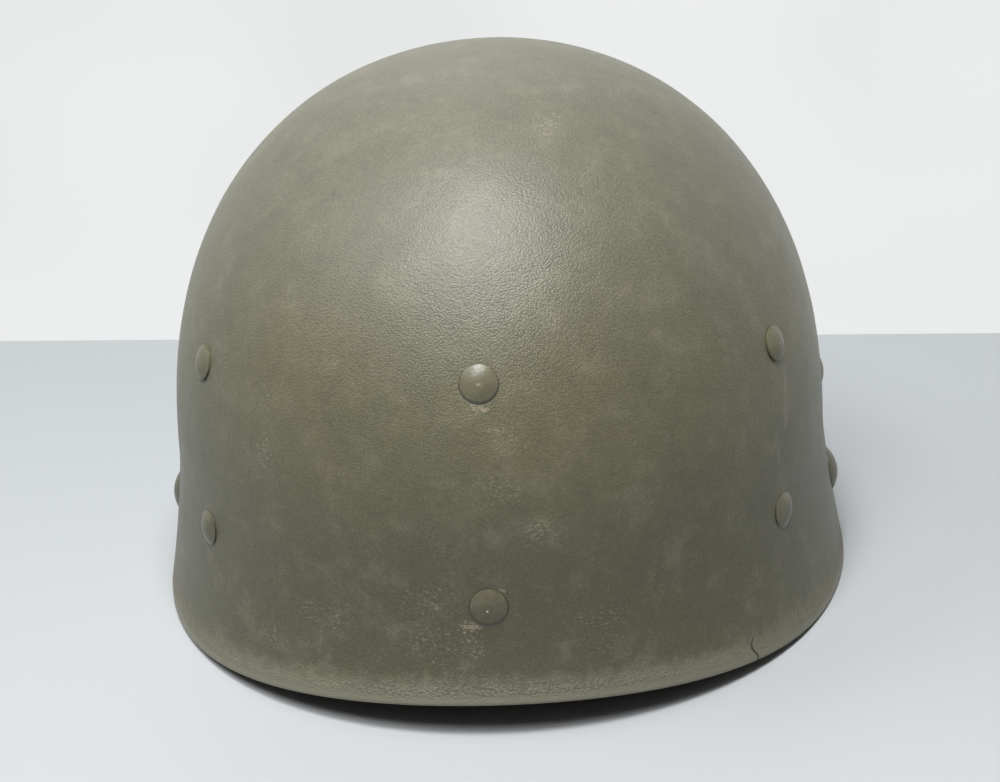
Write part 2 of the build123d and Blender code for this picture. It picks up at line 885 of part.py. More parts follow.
shank_bore = rivet_shank_radius + hole_clearance
chin_bore = chin_stud_shank_radius + hole_clearance
save(shell(), "shell")
save(together(clinched_rivet(p, web_washer_dome) for p in suspension_seats.values()), "suspension_rivets")
save(together(a_washer(p) for p in suspension_seats.values()), "a_washers")
save(suspension_band(), "suspension_band")
for name, place in suspension_seats.items():
    save(crown_strap(place), f"crown_strap_{name}")
save(crown_lace(), "crown_lace")
save(oval_ring(0, web, headband_bottom, headband_height), "headband")
save(headband_end(), "headband_end")
save(headband_buckle(), "headband_buckle")
save(together(headband_clip(side) for side in range(len(chords))), "headband_clips")
save(sweatband(), "sweatband")
save(together(clinched_rivet(p, web_washer_dome) for p in side_seats.values()), "side_rivets")
save(
    together(round_washer(p, side_washer_radius, shank_bore, web_washer_layer) for p in side_seats.values()),
    "side_washers",
)
for name, place in side_seats.items():
    save(side_strap(place), f"side_strap_{name}")
save(together(nape_rivet(p) for p in nape_seats.values()), "nape_rivets")
save(together(nape_washer(p) for p in nape_seats.values()), "nape_washers")
save(nape_strap(), "nape_strap")
save(together(nape_snap(p) for p in nape_seats.values()), "nape_snaps")
save(nape_buckle(), "nape_buckle")
save(together(chin_stud(p) for p in chin_seats.values()), "chin_studs")
save(
    together(round_washer(p, chin_washer_radius, chin_bore, bare_washer_layer) for p in chin_seats.values()),
    "chin_stud_washers",
)
save(chin_strap_long(), "chin_strap_long")
save(chin_strap_short(), "chin_strap_short")
save(chin_eyelets(), "chin_strap_eyelets")
save(chin_strap_keeper(), "chin_strap_keeper")
save(chin_buckle(), "chin_buckle")

print("chin strap turns about y, z", round(pivot.Y, 3), round(pivot.Z, 3), "tilt", round(degrees(chin_tilt), 3))
print("headband end centre y", round(headband_rear_middle, 3), "rear", round(headband_rear, 2))
print("headband half width", round(headband_half_width, 2), "front", round(headband_front, 2))
print("nape strap centre y", round(nape_center, 3), "radius", round(nape_radius, 2))
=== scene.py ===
# Helmet liner on a pale table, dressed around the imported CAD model. Lengths are in metres.
import json
import math

import bmesh
import bpy
from mathutils import Matrix, Vector, noise


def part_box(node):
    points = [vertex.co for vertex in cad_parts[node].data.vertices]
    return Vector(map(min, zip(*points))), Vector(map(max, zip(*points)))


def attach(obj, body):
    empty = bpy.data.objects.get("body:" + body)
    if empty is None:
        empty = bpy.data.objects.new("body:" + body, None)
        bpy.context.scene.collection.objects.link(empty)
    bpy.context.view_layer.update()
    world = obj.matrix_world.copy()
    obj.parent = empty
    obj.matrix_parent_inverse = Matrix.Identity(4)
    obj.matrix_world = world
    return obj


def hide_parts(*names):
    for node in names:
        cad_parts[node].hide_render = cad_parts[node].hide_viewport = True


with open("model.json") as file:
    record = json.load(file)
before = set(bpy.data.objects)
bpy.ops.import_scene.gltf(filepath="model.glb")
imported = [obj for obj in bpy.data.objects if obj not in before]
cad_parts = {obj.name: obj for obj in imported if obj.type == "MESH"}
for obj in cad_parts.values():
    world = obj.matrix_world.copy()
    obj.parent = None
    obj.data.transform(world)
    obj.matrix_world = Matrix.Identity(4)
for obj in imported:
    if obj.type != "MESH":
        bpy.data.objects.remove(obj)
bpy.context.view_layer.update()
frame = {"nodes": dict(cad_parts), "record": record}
nodes = frame["nodes"]
print("frame loaded,", len(nodes), "nodes")


# Small helpers

def deselectAll():
    if bpy.context.mode != "OBJECT":
        bpy.ops.object.mode_set(mode="OBJECT")
    bpy.ops.object.select_all(action="DESELECT")


def makeActive(piece):
    deselectAll()
    piece.select_set(True)
    bpy.context.view_layer.objects.active = piece


def applyModifier(piece, kind, **settings):
    makeActive(piece)
    modifier = piece.modifiers.new(kind.lower(), kind)
    for key, value in settings.items():
        setattr(modifier, key, value)
    bpy.ops.object.modifier_apply(modifier=modifier.name)


def bevelEdges(piece, width, segments, sharpDegrees=50):
    applyModifier(
        piece,
        "BEVEL",
        width=width,
        segments=segments,
        limit_method="ANGLE",
        angle_limit=math.radians(sharpDegrees),
    )


def shadeSmooth(piece, sharpDegrees=50):
    makeActive(piece)
    bpy.ops.object.shade_smooth_by_angle(angle=math.radians(sharpDegrees))


def turnFacesOut():
    bpy.ops.object.mode_set(mode="EDIT")
    bpy.ops.mesh.select_all(action="SELECT")
    bpy.ops.mesh.normals_make_consistent(inside=False)
    bpy.ops.object.mode_set(mode="OBJECT")


def selectWhere(piece, test):
    for part in (piece.data.polygons, piece.data.edges):
        for item in part:
            item.select = False
    for vertex in piece.data.vertices:
        vertex.select = test(vertex.co)
    bpy.ops.object.mode_set(mode="EDIT")
    bpy.ops.mesh.select_mode(type="VERT")


def paintWith(piece, *materials):
    piece.data.materials.clear()
    for material in materials:
        piece.data.materials.append(material)


def srgb(red, green, blue):
    def linear(value):    # screen values run from 0 to 255
        value = value / 255
        return value / 12.92 if value <= 0.04045 else ((value + 0.055) / 1.055) ** 2.4
    return (linear(red), linear(green), linear(blue), 1.0)


def smoothStep(low, high, value):
    share = min(max((value - low) / (high - low), 0), 1)
    return share * share * (3 - 2 * share)


def feed(tree, made, inputs):
    for key, value in inputs.items():
        if isinstance(value, bpy.types.NodeSocket):
            tree.links.new(value, made.inputs[key])
        else:
            made.inputs[key].default_value = value


def addNode(tree, kind, inputs=None, **settings):
    made = tree.nodes.new(kind)
    for key, value in settings.items():
        setattr(made, key, value)
    feed(tree, made, inputs or {})
    return made


def calc(tree, operation, first, second=0.0, third=0.0):
    return addNode(tree, "ShaderNodeMath", {0: first, 1: second, 2: third}, operation=operation).outputs[0]


# a fade is written as from, to and what comes out at each end, a noise as scale, detail, roughness
# and distortion, and what is left out keeps the value given here
def rampBetween(tree, value, low, high, outLow=0.0, outHigh=1.0):
    span = {"Value": value, "From Min": low, "From Max": high, "To Min": outLow, "To Max": outHigh}
    return addNode(tree, "ShaderNodeMapRange", span, interpolation_type="SMOOTHSTEP").outputs["Result"]


def cloudNoise(tree, place, scale, detail=3.0, roughness=0.55, distortion=0.0):
    grain = {"Scale": scale, "Detail": detail, "Roughness": roughness, "Distortion": distortion}
    return addNode(tree, "ShaderNodeTexNoise", {"Vector": place, **grain}).outputs[0]


def vectorCalc(tree, operation, first, second=(0, 0, 0), result="Vector"):
    return addNode(tree, "ShaderNodeVectorMath", {0: first, 1: second}, operation=operation).outputs[result]


def splitPlace(tree, place):
    return addNode(tree, "ShaderNodeSeparateXYZ", {0: place}).outputs


def mixColour(tree, amount, first, second):
    made = addNode(tree, "ShaderNodeMix", data_type="RGBA")
    feed(tree, made, {0: amount, 6: first, 7: second})    # its factor and its two colours
    return made.outputs[2]


def coverWith(tree, colour, mask, strength, coat):
    return mixColour(tree, calc(tree, "MULTIPLY", mask, strength), colour, coat)


def newGroup(name, inputs, outputs):
    group = bpy.data.node_groups.new(name, "ShaderNodeTree")
    for label, kind, value in inputs:
        socket = group.interface.new_socket(name=label, in_out="INPUT", socket_type=kind)
        if value is not None:
            socket.default_value = value
    for label, kind in outputs:
        group.interface.new_socket(name=label, in_out="OUTPUT", socket_type=kind)
    return group, group.nodes.new("NodeGroupInput").outputs, group.nodes.new("NodeGroupOutput")


def useGroup(tree, group, inputs):
    made = tree.nodes.new("ShaderNodeGroup")
    made.node_tree = group
    feed(tree, made, inputs)
    return made.outputs


def newMaterial(name, metallic=0.0, specular=0.5):
    material = bpy.data.materials.new(name)
    material.use_nodes = True
    tree = material.node_tree
    shader = tree.nodes["Principled BSDF"]
    feed(tree, shader, {"Metallic": metallic, "Specular IOR Level": specular})
    place = addNode(tree, "ShaderNodeTexCoord").outputs["Object"]
    return material, tree, shader, place


def wireShader(tree, shader, colour, roughness, height, depth):
    bump = addNode(tree, "ShaderNodeBump", {"Height": height, "Strength": 1.0, "Distance": depth})
    feed(tree, shader, {"Base Color": colour, "Roughness": roughness, "Normal": bump.outputs[0]})


# Camera, table and light, as the photograph has them

cameraSetup = {
    "place": (-0.0457, 0.8816, 0.4139),
    "aim": (-0.0001, 0.0, 0.0581),
    "rollDegrees": -2.97,
    "lens": 101.15,
    "sensorWidth": 36.0,
    "clip": (0.01, 50),
}


def addCamera(setup):
    data = bpy.data.cameras.new("photoCamera")
    data.lens = setup["lens"]
    data.sensor_width = setup["sensorWidth"]
    data.sensor_fit = "HORIZONTAL"
    data.clip_start, data.clip_end = setup["clip"]
    camera = bpy.data.objects.new("photoCamera", data)
    bpy.context.collection.objects.link(camera)
    ahead = (Vector(setup["aim"]) - Vector(setup["place"])).normalized()
    level = ahead.cross(Vector((0, 0, 1))).normalized()
    upward = level.cross(ahead)
    roll = math.radians(setup["rollDegrees"])
    across = level * math.cos(roll) + upward * math.sin(roll)
    upward = upward * math.cos(roll) - level * math.sin(roll)
    turn = Matrix((across, upward, -ahead)).transposed()
    camera.matrix_world = Matrix.Translation(setup["place"]) @ turn.to_4x4()
    bpy.context.scene.camera = camera


addCamera(cameraSetup)

tableSetup = {
    "backEdge": ((0.2213, -0.2188), (-0.1943, -0.1893)),    # where it crosses the picture's two sides
    "reach": 2.6,
    "squares": 8,
    "below": 0.0001,
    "roughness": 0.55,
    "specular": 0.3,
    "depthFade": (-0.25, 0.30),
    "cloudScale": 3.0,
    "cloudFade": (0.3, 0.9, 0.0, 0.5),
    "grainScale": 900.0,
    "grainDepth": 0.00002,
    # painted light: the table is painted lighter towards the camera
    "nearLitColour": srgb(204, 207, 210),
    "farColour": srgb(195, 200, 203),
    "cloud": srgb(197, 202, 206),
}


def addTable(setup):
    first, second = (Vector((x, y, 0)) for x, y in setup["backEdge"])
    along = (first - second).normalized()
    middle = (first + second) / 2
    nearward = Vector((-along.y, along.x, 0))
    if nearward.y < 0:
        nearward = -nearward
    reach = setup["reach"]
    deselectAll()
    bpy.ops.mesh.primitive_grid_add(x_subdivisions=setup["squares"], y_subdivisions=setup["squares"], size=1)
    table = bpy.context.object
    table.name = "table"
    for vertex in table.data.vertices:
        x, y = vertex.co.xy    # the new grid is 1 across, its middle at the origin
        vertex.co = middle + along * x * 2 * reach + nearward * (y + 0.5) * reach
        vertex.co.z = -setup["below"]
    material, tree, shader, place = newMaterial("tableTop", specular=setup["specular"])
    # painted light: the table turns lighter towards the camera
    depth = rampBetween(tree, splitPlace(tree, place)["Y"], *setup["depthFade"])
    shade = mixColour(tree, depth, setup["farColour"], setup["nearLitColour"])
    clouds = rampBetween(tree, cloudNoise(tree, place, setup["cloudScale"]), *setup["cloudFade"])
    shade = mixColour(tree, clouds, shade, setup["cloud"])
    grain = cloudNoise(tree, place, setup["grainScale"])
    wireShader(tree, shader, shade, setup["roughness"], grain, setup["grainDepth"])
    paintWith(table, material)


addTable(tableSetup)

softboxes = {
    "overheadSoftbox": {"place": (0.0, 0.28, 1.20), "aim": (0, 0.02, 0.1), "size": 0.40, "power": 10.1},
    "frontSoftbox": {"place": (0.20, 0.66, 1.12), "aim": (0, 0, 0.08), "size": 0.50, "power": 4.6},
    "leftSoftbox": {"place": (0.85, 0.10, 1.10), "aim": (0, 0.02, 0.08), "size": 0.80, "power": 4.0},
    "backSoftbox": {"place": (0.15, -0.95, 1.00), "aim": (0, 0, 0.15), "size": 1.00, "power": 1.6},
}
roomSetup = {
    "ambient": 0.11,
    "ambientColour": (1.0, 0.985, 0.955, 1.0),
    "backdrop": srgb(236, 238, 237),
    # painted shade: darker patches where the backdrop folds
    "backdropFoldShade": srgb(230, 232, 232),
    "foldShadeNoise": (7.0, 2.0),
    "foldShadeFade": (0.35, 0.75),
}


def addSoftbox(name, setup):
    data = bpy.data.lights.new(name, "AREA")
    data.shape = "DISK"
    data.size = setup["size"]
    data.energy = setup["power"]
    lamp = bpy.data.objects.new(name, data)
    bpy.context.collection.objects.link(lamp)
    lamp.location = setup["place"]
    way = Vector(setup["place"]) - Vector(setup["aim"])
    lamp.rotation_mode = "QUATERNION"
    lamp.rotation_quaternion = way.to_track_quat("Z", "Y")


def addWorld(setup):
    world = bpy.data.worlds.new("paleRoom")
    bpy.context.scene.world = world
    world.use_nodes = True
    tree = world.node_tree
    tree.nodes.clear()
    path = addNode(tree, "ShaderNodeLightPath")
    given = {"Color": setup["ambientColour"], "Strength": setup["ambient"]}
    ambient = addNode(tree, "ShaderNodeBackground", given)
    place = addNode(tree, "ShaderNodeTexCoord").outputs["Generated"]
    # painted shade of the backdrop's folds
    foldShade = rampBetween(tree, cloudNoise(tree, place, *setup["foldShadeNoise"]), *setup["foldShadeFade"])
    seen = mixColour(tree, foldShade, setup["backdrop"], setup["backdropFoldShade"])
    backdrop = addNode(tree, "ShaderNodeBackground", {"Color": seen, "Strength": 1.0})
    seenBy = calc(tree, "MAXIMUM", path.outputs["Is Camera Ray"], path.outputs["Is Glossy Ray"])
    seenBy = calc(tree, "MAXIMUM", seenBy, path.outputs["Is Transmission Ray"])
    shares = {0: seenBy, 1: ambient.outputs[0], 2: backdrop.outputs[0]}
    shown = addNode(tree, "ShaderNodeMixShader", shares)
    addNode(tree, "ShaderNodeOutputWorld", {0: shown.outputs[0]})


for name, setup in softboxes.items():
    addSoftbox(name, setup)
addWorld(roomSetup)
bpy.context.scene.view_settings.view_transform = "Standard"
print("camera, table and light set")


# Form of the shell, which everything inside it is measured from

shellForm = {
    "length": 0.2686,
    "height": 0.176,
    "wall": 0.0026,
    "waistHeight": 0.0495,
    "waistHalfWidth": 0.1085,
    "rearReach": 0.1277,
    "frontReach": 0.119,
    "sideSpread": 0.00695,
    "rearRise": 0.0101,
    "rearRiseStart": 0.0455,
    "visorRise": 0.024,
    "visorRiseStart": 0.030,
    "visorTop": 0.056,
    "visorBottom": 0.008,
    "heightPower": 2.31,
    "crownRoot": 2.12,
    "sidePower": 1.34,
    "rearPower": 2.37,
    "rounding": 0.0009,
}


def shellFlare(form, height):
    share = (form["visorTop"] - height) / (form["visorTop"] - form["visorBottom"])
    return smoothStep(0, 1, share)


def shellCrown(form, height, inset):
    top = form["height"] - inset
    share = min(max((height - form["waistHeight"]) / (top - form["waistHeight"]), 0), 1)
    return (1 - share ** form["heightPower"]) ** (1 / form["crownRoot"])


def shellHalfWidth(form, height, inset=0.0):
    low = max((form["waistHeight"] - height) / form["waistHeight"], 0)
    width = (form["waistHalfWidth"] - inset) * shellCrown(form, height, inset)
    return width + form["sideSpread"] * low ** form["sidePower"]


def shellReach(form, height, toRear, inset=0.0):
    crown = shellCrown(form, height, inset)
    if toRear:
        low = max((form["waistHeight"] - height) / (form["waistHeight"] - form["rearRise"]), 0)
        spread = form["length"] / 2 - form["rearReach"]
        return (form["rearReach"] - inset) * crown + spread * low ** form["rearPower"]
    spread = (form["length"] / 2 - form["frontReach"]) / shellFlare(form, form["visorRise"])
    return (form["frontReach"] - inset) * crown + spread * shellFlare(form, height)


def rimHeight(form, y):
    start, rise = form["rearRiseStart"], form["rearRise"]
    past = y - start
    if y < 0:
        start, rise = form["visorRiseStart"], form["visorRise"]
        past = -y - start
    if past <= 0:
        return 0.0
    run = form["length"] / 2 - start
    radius = (run * run + rise * rise) / (2 * rise)
    return radius - math.sqrt(radius * radius - min(past, run) ** 2)


def faceAt(form, y, height, side):
    reach = shellReach(form, height, y >= 0)    # point of the outer face, side 1 for the wearer's left
    return Vector((side * shellHalfWidth(form, height) * math.sqrt(1 - (y / reach) ** 2), y, height))


def wallPoint(form, height, inset, turn, aside=0.0):
    out = Vector((math.sin(turn), math.cos(turn), 0))    # turn runs from the rear towards the wearer's left
    across = Vector((-out.y, out.x, 0))
    width = shellHalfWidth(form, height, inset)
    reach = shellReach(form, height, out.y >= 0, inset)
    square = (out.x / width) ** 2 + (out.y / reach) ** 2
    single = 2 * aside * (out.x * across.x / width**2 + out.y * across.y / reach**2)
    rest = (across.x * aside / width) ** 2 + (across.y * aside / reach) ** 2 - 1
    distance = (-single + math.sqrt(single * single - 4 * square * rest)) / (2 * square)
    return out * distance + across * aside + Vector((0, 0, height))


rivetPlan = {
    "crownHeight": 0.1079,
    "flankHeight": 0.0955,
    "rearFlankY": 0.0605,
    "frontFlankY": -0.057,
    "napeHeight": 0.0403,
    "napeFlankHeight": 0.0425,
    "napeFlankY": 0.0695,
    "sideHeight": 0.060,
    "sideY": -0.0055,
    "studHeight": 0.0268,
    "studY": 0.0016,
    "headRadius": 0.0057,
    "studRadius": 0.0072,
}


def planRivets(form, plan):
    crown, flank = plan["crownHeight"], plan["flankHeight"]
    suspension = {
        "rear": Vector((0, shellReach(form, crown, True), crown)),
        "rear_left": faceAt(form, plan["rearFlankY"], flank, 1),
        "front_left": faceAt(form, plan["frontFlankY"], flank, 1),
        "front": Vector((0, -shellReach(form, crown, False), crown)),
        "front_right": faceAt(form, plan["frontFlankY"], flank, -1),
        "rear_right": faceAt(form, plan["rearFlankY"], flank, -1),
    }
    small = list(suspension.values())
    small.append(Vector((0, shellReach(form, plan["napeHeight"], True), plan["napeHeight"])))
    for side in (1, -1):
        small.append(faceAt(form, plan["napeFlankY"], plan["napeFlankHeight"], side))
        small.append(faceAt(form, plan["sideY"], plan["sideHeight"], side))
    studs = [faceAt(form, plan["studY"], plan["studHeight"], side) for side in (1, -1)]
    return suspension, small, studs


suspensionSeats, smallSeats, studSeats = planRivets(shellForm, rivetPlan)


# Paint, shared by the shell and the rivets painted with it

pebbleForm = {
    "stretch": (0.9, 0.9, 1.15),    # grains are wider than high
    "smoothness": 0.35,
    "pebbleHeight": 0.8,
    "fineTimes": 1.9,
    "fineNoise": (3.0, 0.6, 0.1),    # without its scale, which follows the grain's
    "fineHeight": 0.7,
    "swellTimes": 0.16,
    "swellDetail": 2.0,
    "swellHeight": 0.35,
}


def buildPebbleGrain(form):
    group, given, result = newGroup(
        "pebbleGrain",
        [("Position", "NodeSocketVector", None), ("Size", "NodeSocketFloat", 0.0014)],
        [("Height", "NodeSocketFloat")],
    )
    spread = calc(group, "DIVIDE", 1.0, given["Size"])
    flat = vectorCalc(group, "MULTIPLY", given["Position"], form["stretch"])
    cells = {"Vector": flat, "Scale": spread, "Smoothness": form["smoothness"], "Randomness": 1.0}
    pebbles = addNode(group, "ShaderNodeTexVoronoi", cells, feature="SMOOTH_F1")
    height = calc(group, "SUBTRACT", 1.0, pebbles.outputs["Distance"])
    height = calc(group, "MULTIPLY", height, form["pebbleHeight"])
    fine = cloudNoise(group, flat, calc(group, "MULTIPLY", spread, form["fineTimes"]), *form["fineNoise"])
    height = calc(group, "MULTIPLY_ADD", fine, form["fineHeight"], height)
    swellScale = calc(group, "MULTIPLY", spread, form["swellTimes"])
    swell = cloudNoise(group, given["Position"], swellScale, form["swellDetail"])
    height = calc(group, "MULTIPLY_ADD", swell, form["swellHeight"], height)
    group.links.new(height, result.inputs["Height"])
    return group


scuffForm = {
    "stretch": (0.8, 0.8, 1.5),
    "noise": (3.0, 0.6, 0.3),    # without its scale, which each patch brings
    "threshold": 0.70,
    "brokenFade": (-0.06, 0.13),
    "outerFade": (0.0, 0.15),
}


def buildScuff(form):
    group, given, result = newGroup(
        "scuffPatch",
        [
            ("Position", "NodeSocketVector", None),
            ("Centre", "NodeSocketVector", None),
            ("Reach", "NodeSocketVector", None),
            ("Breakup", "NodeSocketFloat", 1000.0),
            ("Cover", "NodeSocketFloat", 0.2),
        ],
        [("Mask", "NodeSocketFloat")],
    )
    away = vectorCalc(group, "SUBTRACT", given["Position"], given["Centre"])
    away = vectorCalc(group, "DIVIDE", away, given["Reach"])
    near = rampBetween(group, vectorCalc(group, "LENGTH", away, result="Value"), 1.0, 0.0)
    flat = vectorCalc(group, "MULTIPLY", given["Position"], form["stretch"])
    broken = cloudNoise(group, flat, given["Breakup"], *form["noise"])
    level = calc(group, "MULTIPLY_ADD", near, given["Cover"], broken)
    level = calc(group, "SUBTRACT", level, form["threshold"])
    mask = rampBetween(group, level, *form["brokenFade"])
    mask = calc(group, "MULTIPLY", mask, rampBetween(group, near, *form["outerFade"]))
    group.links.new(mask, result.inputs["Mask"])
    return group


lineForm = {"wanderNoise": (600.0, 2.0), "wander": 1.5, "fade": (1.6, 0.6)}    # the fade in half widths


def buildLineMark(form):
    group, given, result = newGroup(
        "lineMark",
        [
            ("Position", "NodeSocketVector", None),
            ("Start", "NodeSocketVector", None),
            ("End", "NodeSocketVector", None),
            ("Half Width", "NodeSocketFloat", 0.0002),
            ("Strength", "NodeSocketFloat", 1.0),
        ],
        [("Mask", "NodeSocketFloat")],
    )
    run = vectorCalc(group, "SUBTRACT", given["End"], given["Start"])
    away = vectorCalc(group, "SUBTRACT", given["Position"], given["Start"])
    dotted = vectorCalc(group, "DOT_PRODUCT", away, run, "Value")
    square = vectorCalc(group, "DOT_PRODUCT", run, run, "Value")
    share = calc(group, "MINIMUM", calc(group, "MAXIMUM", calc(group, "DIVIDE", dotted, square), 0.0), 1.0)
    nearest = addNode(group, "ShaderNodeVectorMath", {0: run, "Scale": share}, operation="SCALE").outputs[0]
    distance = vectorCalc(group, "DISTANCE", away, nearest, "Value")
    wander = calc(group, "SUBTRACT", cloudNoise(group, given["Position"], *form["wanderNoise"]), 0.5)
    wander = calc(group, "MULTIPLY", wander, given["Half Width"])
    distance = calc(group, "MULTIPLY_ADD", wander, form["wander"], distance)
    share = calc(group, "DIVIDE", distance, given["Half Width"])
    mask = calc(group, "MULTIPLY", rampBetween(group, share, *form["fade"]), given["Strength"])
    group.links.new(mask, result.inputs["Mask"])
    return group


def buildSeatDistance(name, seats):
    group, given, result = newGroup(
        name,
        [("Position", "NodeSocketVector", None)],
        [("Distance", "NodeSocketFloat")],
    )
    nearest = None
    for seat in seats:
        distance = vectorCalc(group, "DISTANCE", given["Position"], tuple(seat), "Value")
        nearest = distance if nearest is None else calc(group, "MINIMUM", nearest, distance)
    group.links.new(nearest, result.inputs["Distance"])
    return group


pebbleGrain = buildPebbleGrain(pebbleForm)
scuffPatch = buildScuff(scuffForm)
lineMark = buildLineMark(lineForm)
rivetDistance = buildSeatDistance("rivetDistance", smallSeats)
studDistance = buildSeatDistance("studDistance", studSeats)

shellPaint = {
    "paint": srgb(99, 95, 65),
    "paintCool": srgb(94, 92, 67),
    "paintWarm": srgb(107, 100, 69),
    # painted light: the paint turns lighter and greyer towards the crown, as if lit from above
    "crownLitPaint": srgb(107, 105, 86),
    # painted shade: the paint darkens towards the rim
    "lowShadedPaint": srgb(66, 63, 34),
    "rubbed": srgb(168, 154, 130),
    "dusty": srgb(170, 164, 140),
    "rim": srgb(143, 138, 118),
    "rimRidge": srgb(168, 163, 146),
    "rimEdge": srgb(122, 119, 100),
    # dark for pits and darker patches, and for the painted shade under the rivet heads and in the grain's
    # valleys
    "pitAndShade": srgb(58, 54, 43),
    "scratch": srgb(198, 193, 172),
    "crack": srgb(38, 34, 27),
    "roughness": 0.395,
    "specular": 0.72,
    "grainSize": 0.00066,
    "grainDepth": 0.00015,
    "broadNoise": (14.0, 4.0, 0.6),
    "coolFade": (0.35, 0.68),
    "mottleNoise": (110.0, 6.0, 0.7),
    "warmFade": (0.45, 0.85, 0.0, 0.5),
    "crownFade": (0.095, 0.150, 0.0, 0.85),
    "lowFade": (0.100, 0.025, 0.0, 0.75),
    "veilNoise": (80.0, 5.0, 0.68),
    "veilPaleFade": (0.48, 0.74, 0.0, 0.17),
    "veilDarkFade": (0.50, 0.28, 0.0, 0.20),
    "speckleStretch": (0.8, 0.8, 1.5),
    "speckleNoise": (1200.0, 2.0, 0.6),
    "speckleFade": (0.62, 0.72),
    "clusterNoise": (60.0, 3.0, 0.6),
    "clusterFade": (0.35, 0.65, 0.3, 1.0),
    "grainPaleFade": (0.95, 1.35, 0.0, 0.16),
    "grainDarkFade": (0.95, 0.65, 0.0, 0.20),
    "fleckAmount": 0.20,
    "dustAmount": 0.42,
    "rubAmount": 0.66,
    "wornDulling": 0.24,
    "clusterDulling": 0.10,
    "heights": {"rubs": 0.7, "rim": 1.5, "seam": -0.9, "crack": -5.4, "drips": 3.6},    # in grains
    # worn lip, its fades by the height over the rim
    "rimGrainSize": 0.0009,
    "rimNoise": (260.0, 5.0, 0.7),
    "rimRagged": 0.011,
    "rimFade": (0.01116, 0.00248),
    "rimAmount": 0.60,
    "ridgeFade": (1.20, 1.45),
    "ridgeAmount": 0.38,
    "behindFade": (0.112, 0.133, 0.10, 1.0),
    "pitNoise": (700.0, 4.0, 0.75),
    "pitFade": (0.58, 0.66),
    "pitGrainFade": (0.95, 0.75, 0.0, 0.8),
    "pitAmount": 0.48,
    "pitDepth": -0.8,
    "edgeFade": (0.00396, 0.0018),
    "edgeAmount": 0.70,
    # centre, reach, size of the breakup and cover of each patch
    "rubs": (
        ((0.0005, 0.1190, 0.1012), (0.0068, 0.010, 0.0036), 900.0, 0.25),
        ((-0.0050, 0.1215, 0.0950), (0.0080, 0.010, 0.0030), 900.0, 0.13),
        ((0.0062, 0.1280, 0.0338), (0.0075, 0.010, 0.0036), 900.0, 0.23),
        ((0.0045, 0.1280, 0.0280), (0.0060, 0.010, 0.0085), 900.0, 0.15),
        ((-0.0040, 0.1280, 0.0452), (0.0022, 0.006, 0.0016), 900.0, 0.26),
        ((-0.0926, 0.0634, 0.0790), (0.0030, 0.008, 0.0150), 800.0, 0.12),
        ((-0.0798, 0.0979, 0.0056), (0.0042, 0.005, 0.0040), 800.0, 0.24),
    ),
    "dustPatches": (
        ((0.0675, 0.0970, 0.0804), (0.0090, 0.012, 0.0110), 1000.0, 0.18),
        ((0.0667, 0.0931, 0.0953), (0.0075, 0.012, 0.0110), 1000.0, 0.13),
        ((-0.0208, 0.0490, 0.1665), (0.0100, 0.020, 0.0100), 1000.0, 0.17),
        ((-0.0163, 0.1258, 0.0641), (0.0120, 0.012, 0.0100), 1100.0, 0.18),
        ((-0.0051, 0.1257, 0.0774), (0.0160, 0.012, 0.0120), 1100.0, 0.14),
        ((-0.0060, 0.1214, 0.0900), (0.0200, 0.014, 0.0090), 1100.0, 0.11),
        ((0.0176, 0.1261, 0.0423), (0.0190, 0.014, 0.0120), 1100.0, 0.15),
        ((0.0183, 0.1273, 0.0295), (0.0210, 0.014, 0.0130), 1100.0, 0.14),
        ((0.0100, 0.1280, 0.0560), (0.0140, 0.014, 0.0080), 1100.0, 0.11),
        ((0.0509, 0.1138, 0.0310), (0.0210, 0.014, 0.0140), 1100.0, 0.13),
        ((0.0682, 0.1028, 0.0190), (0.0110, 0.010, 0.0060), 1100.0, 0.15),
        ((-0.0350, 0.1240, 0.0300), (0.0240, 0.014, 0.0200), 1100.0, 0.11),
        ((-0.0450, 0.1150, 0.0700), (0.0200, 0.014, 0.0260), 1100.0, 0.09),
        ((-0.0770, 0.0950, 0.0100), (0.0090, 0.010, 0.0050), 1000.0, 0.16),
    ),
    # start, end and half width of each pale line, and how strongly it shows
    "scratches": (
        ((0.0681, 0.1025, 0.0240), (0.0683, 0.1031, 0.0216), 0.00018, 0.62),
        ((0.0581, 0.1090, 0.0341), (0.0442, 0.1171, 0.0384), 0.00016, 0.08),
        ((0.0582, 0.1092, 0.0325), (0.0427, 0.1180, 0.0374), 0.00018, 0.10),
        ((0.0593, 0.1087, 0.0305), (0.0467, 0.1162, 0.0343), 0.00016, 0.08),
        ((0.0578, 0.1100, 0.0295), (0.0455, 0.1170, 0.0336), 0.00018, 0.09),
        ((0.0495, 0.1152, 0.0308), (0.0430, 0.1186, 0.0312), 0.00018, 0.09),
    ),
    "drips": (
        ((-0.0927, 0.0589, 0.0872), (-0.0924, 0.0650, 0.0704), 0.0011, 0.17),
        ((-0.0892, 0.0715, 0.0675), (-0.0901, 0.0708, 0.0596), 0.0008, 0.10),
    ),
    # a dark joint round each rivet head, set low to paint the shadow under it
    "seamShadowDrop": 0.0005,
    "seamShadowFade": (0.0004, 0.0001),
    "seamShadowAmount": 0.70,
    "crackPlace": (-0.0805, 0.0964, 0.0064),
    "crackAlong": (0.76, 0.65, 0.0),
    "crackHalfHeight": 0.0036,
    "crackHalfWidth": 0.00028,
    "crackSwing": 0.0009,
    "crackTaper": 1.15,
    "crackFade": (0.012, 0.010),
}


patchSockets = ("Centre", "Reach", "Breakup", "Cover")
lineSockets = ("Start", "End", "Half Width", "Strength")


def addMarks(tree, place, group, sockets, marks):
    cover = None
    for mark in marks:
        given = dict(zip(sockets, mark), Position=place)
        mask = useGroup(tree, group, given)["Mask"]
        cover = mask if cover is None else calc(tree, "MAXIMUM", cover, mask)
    return cover


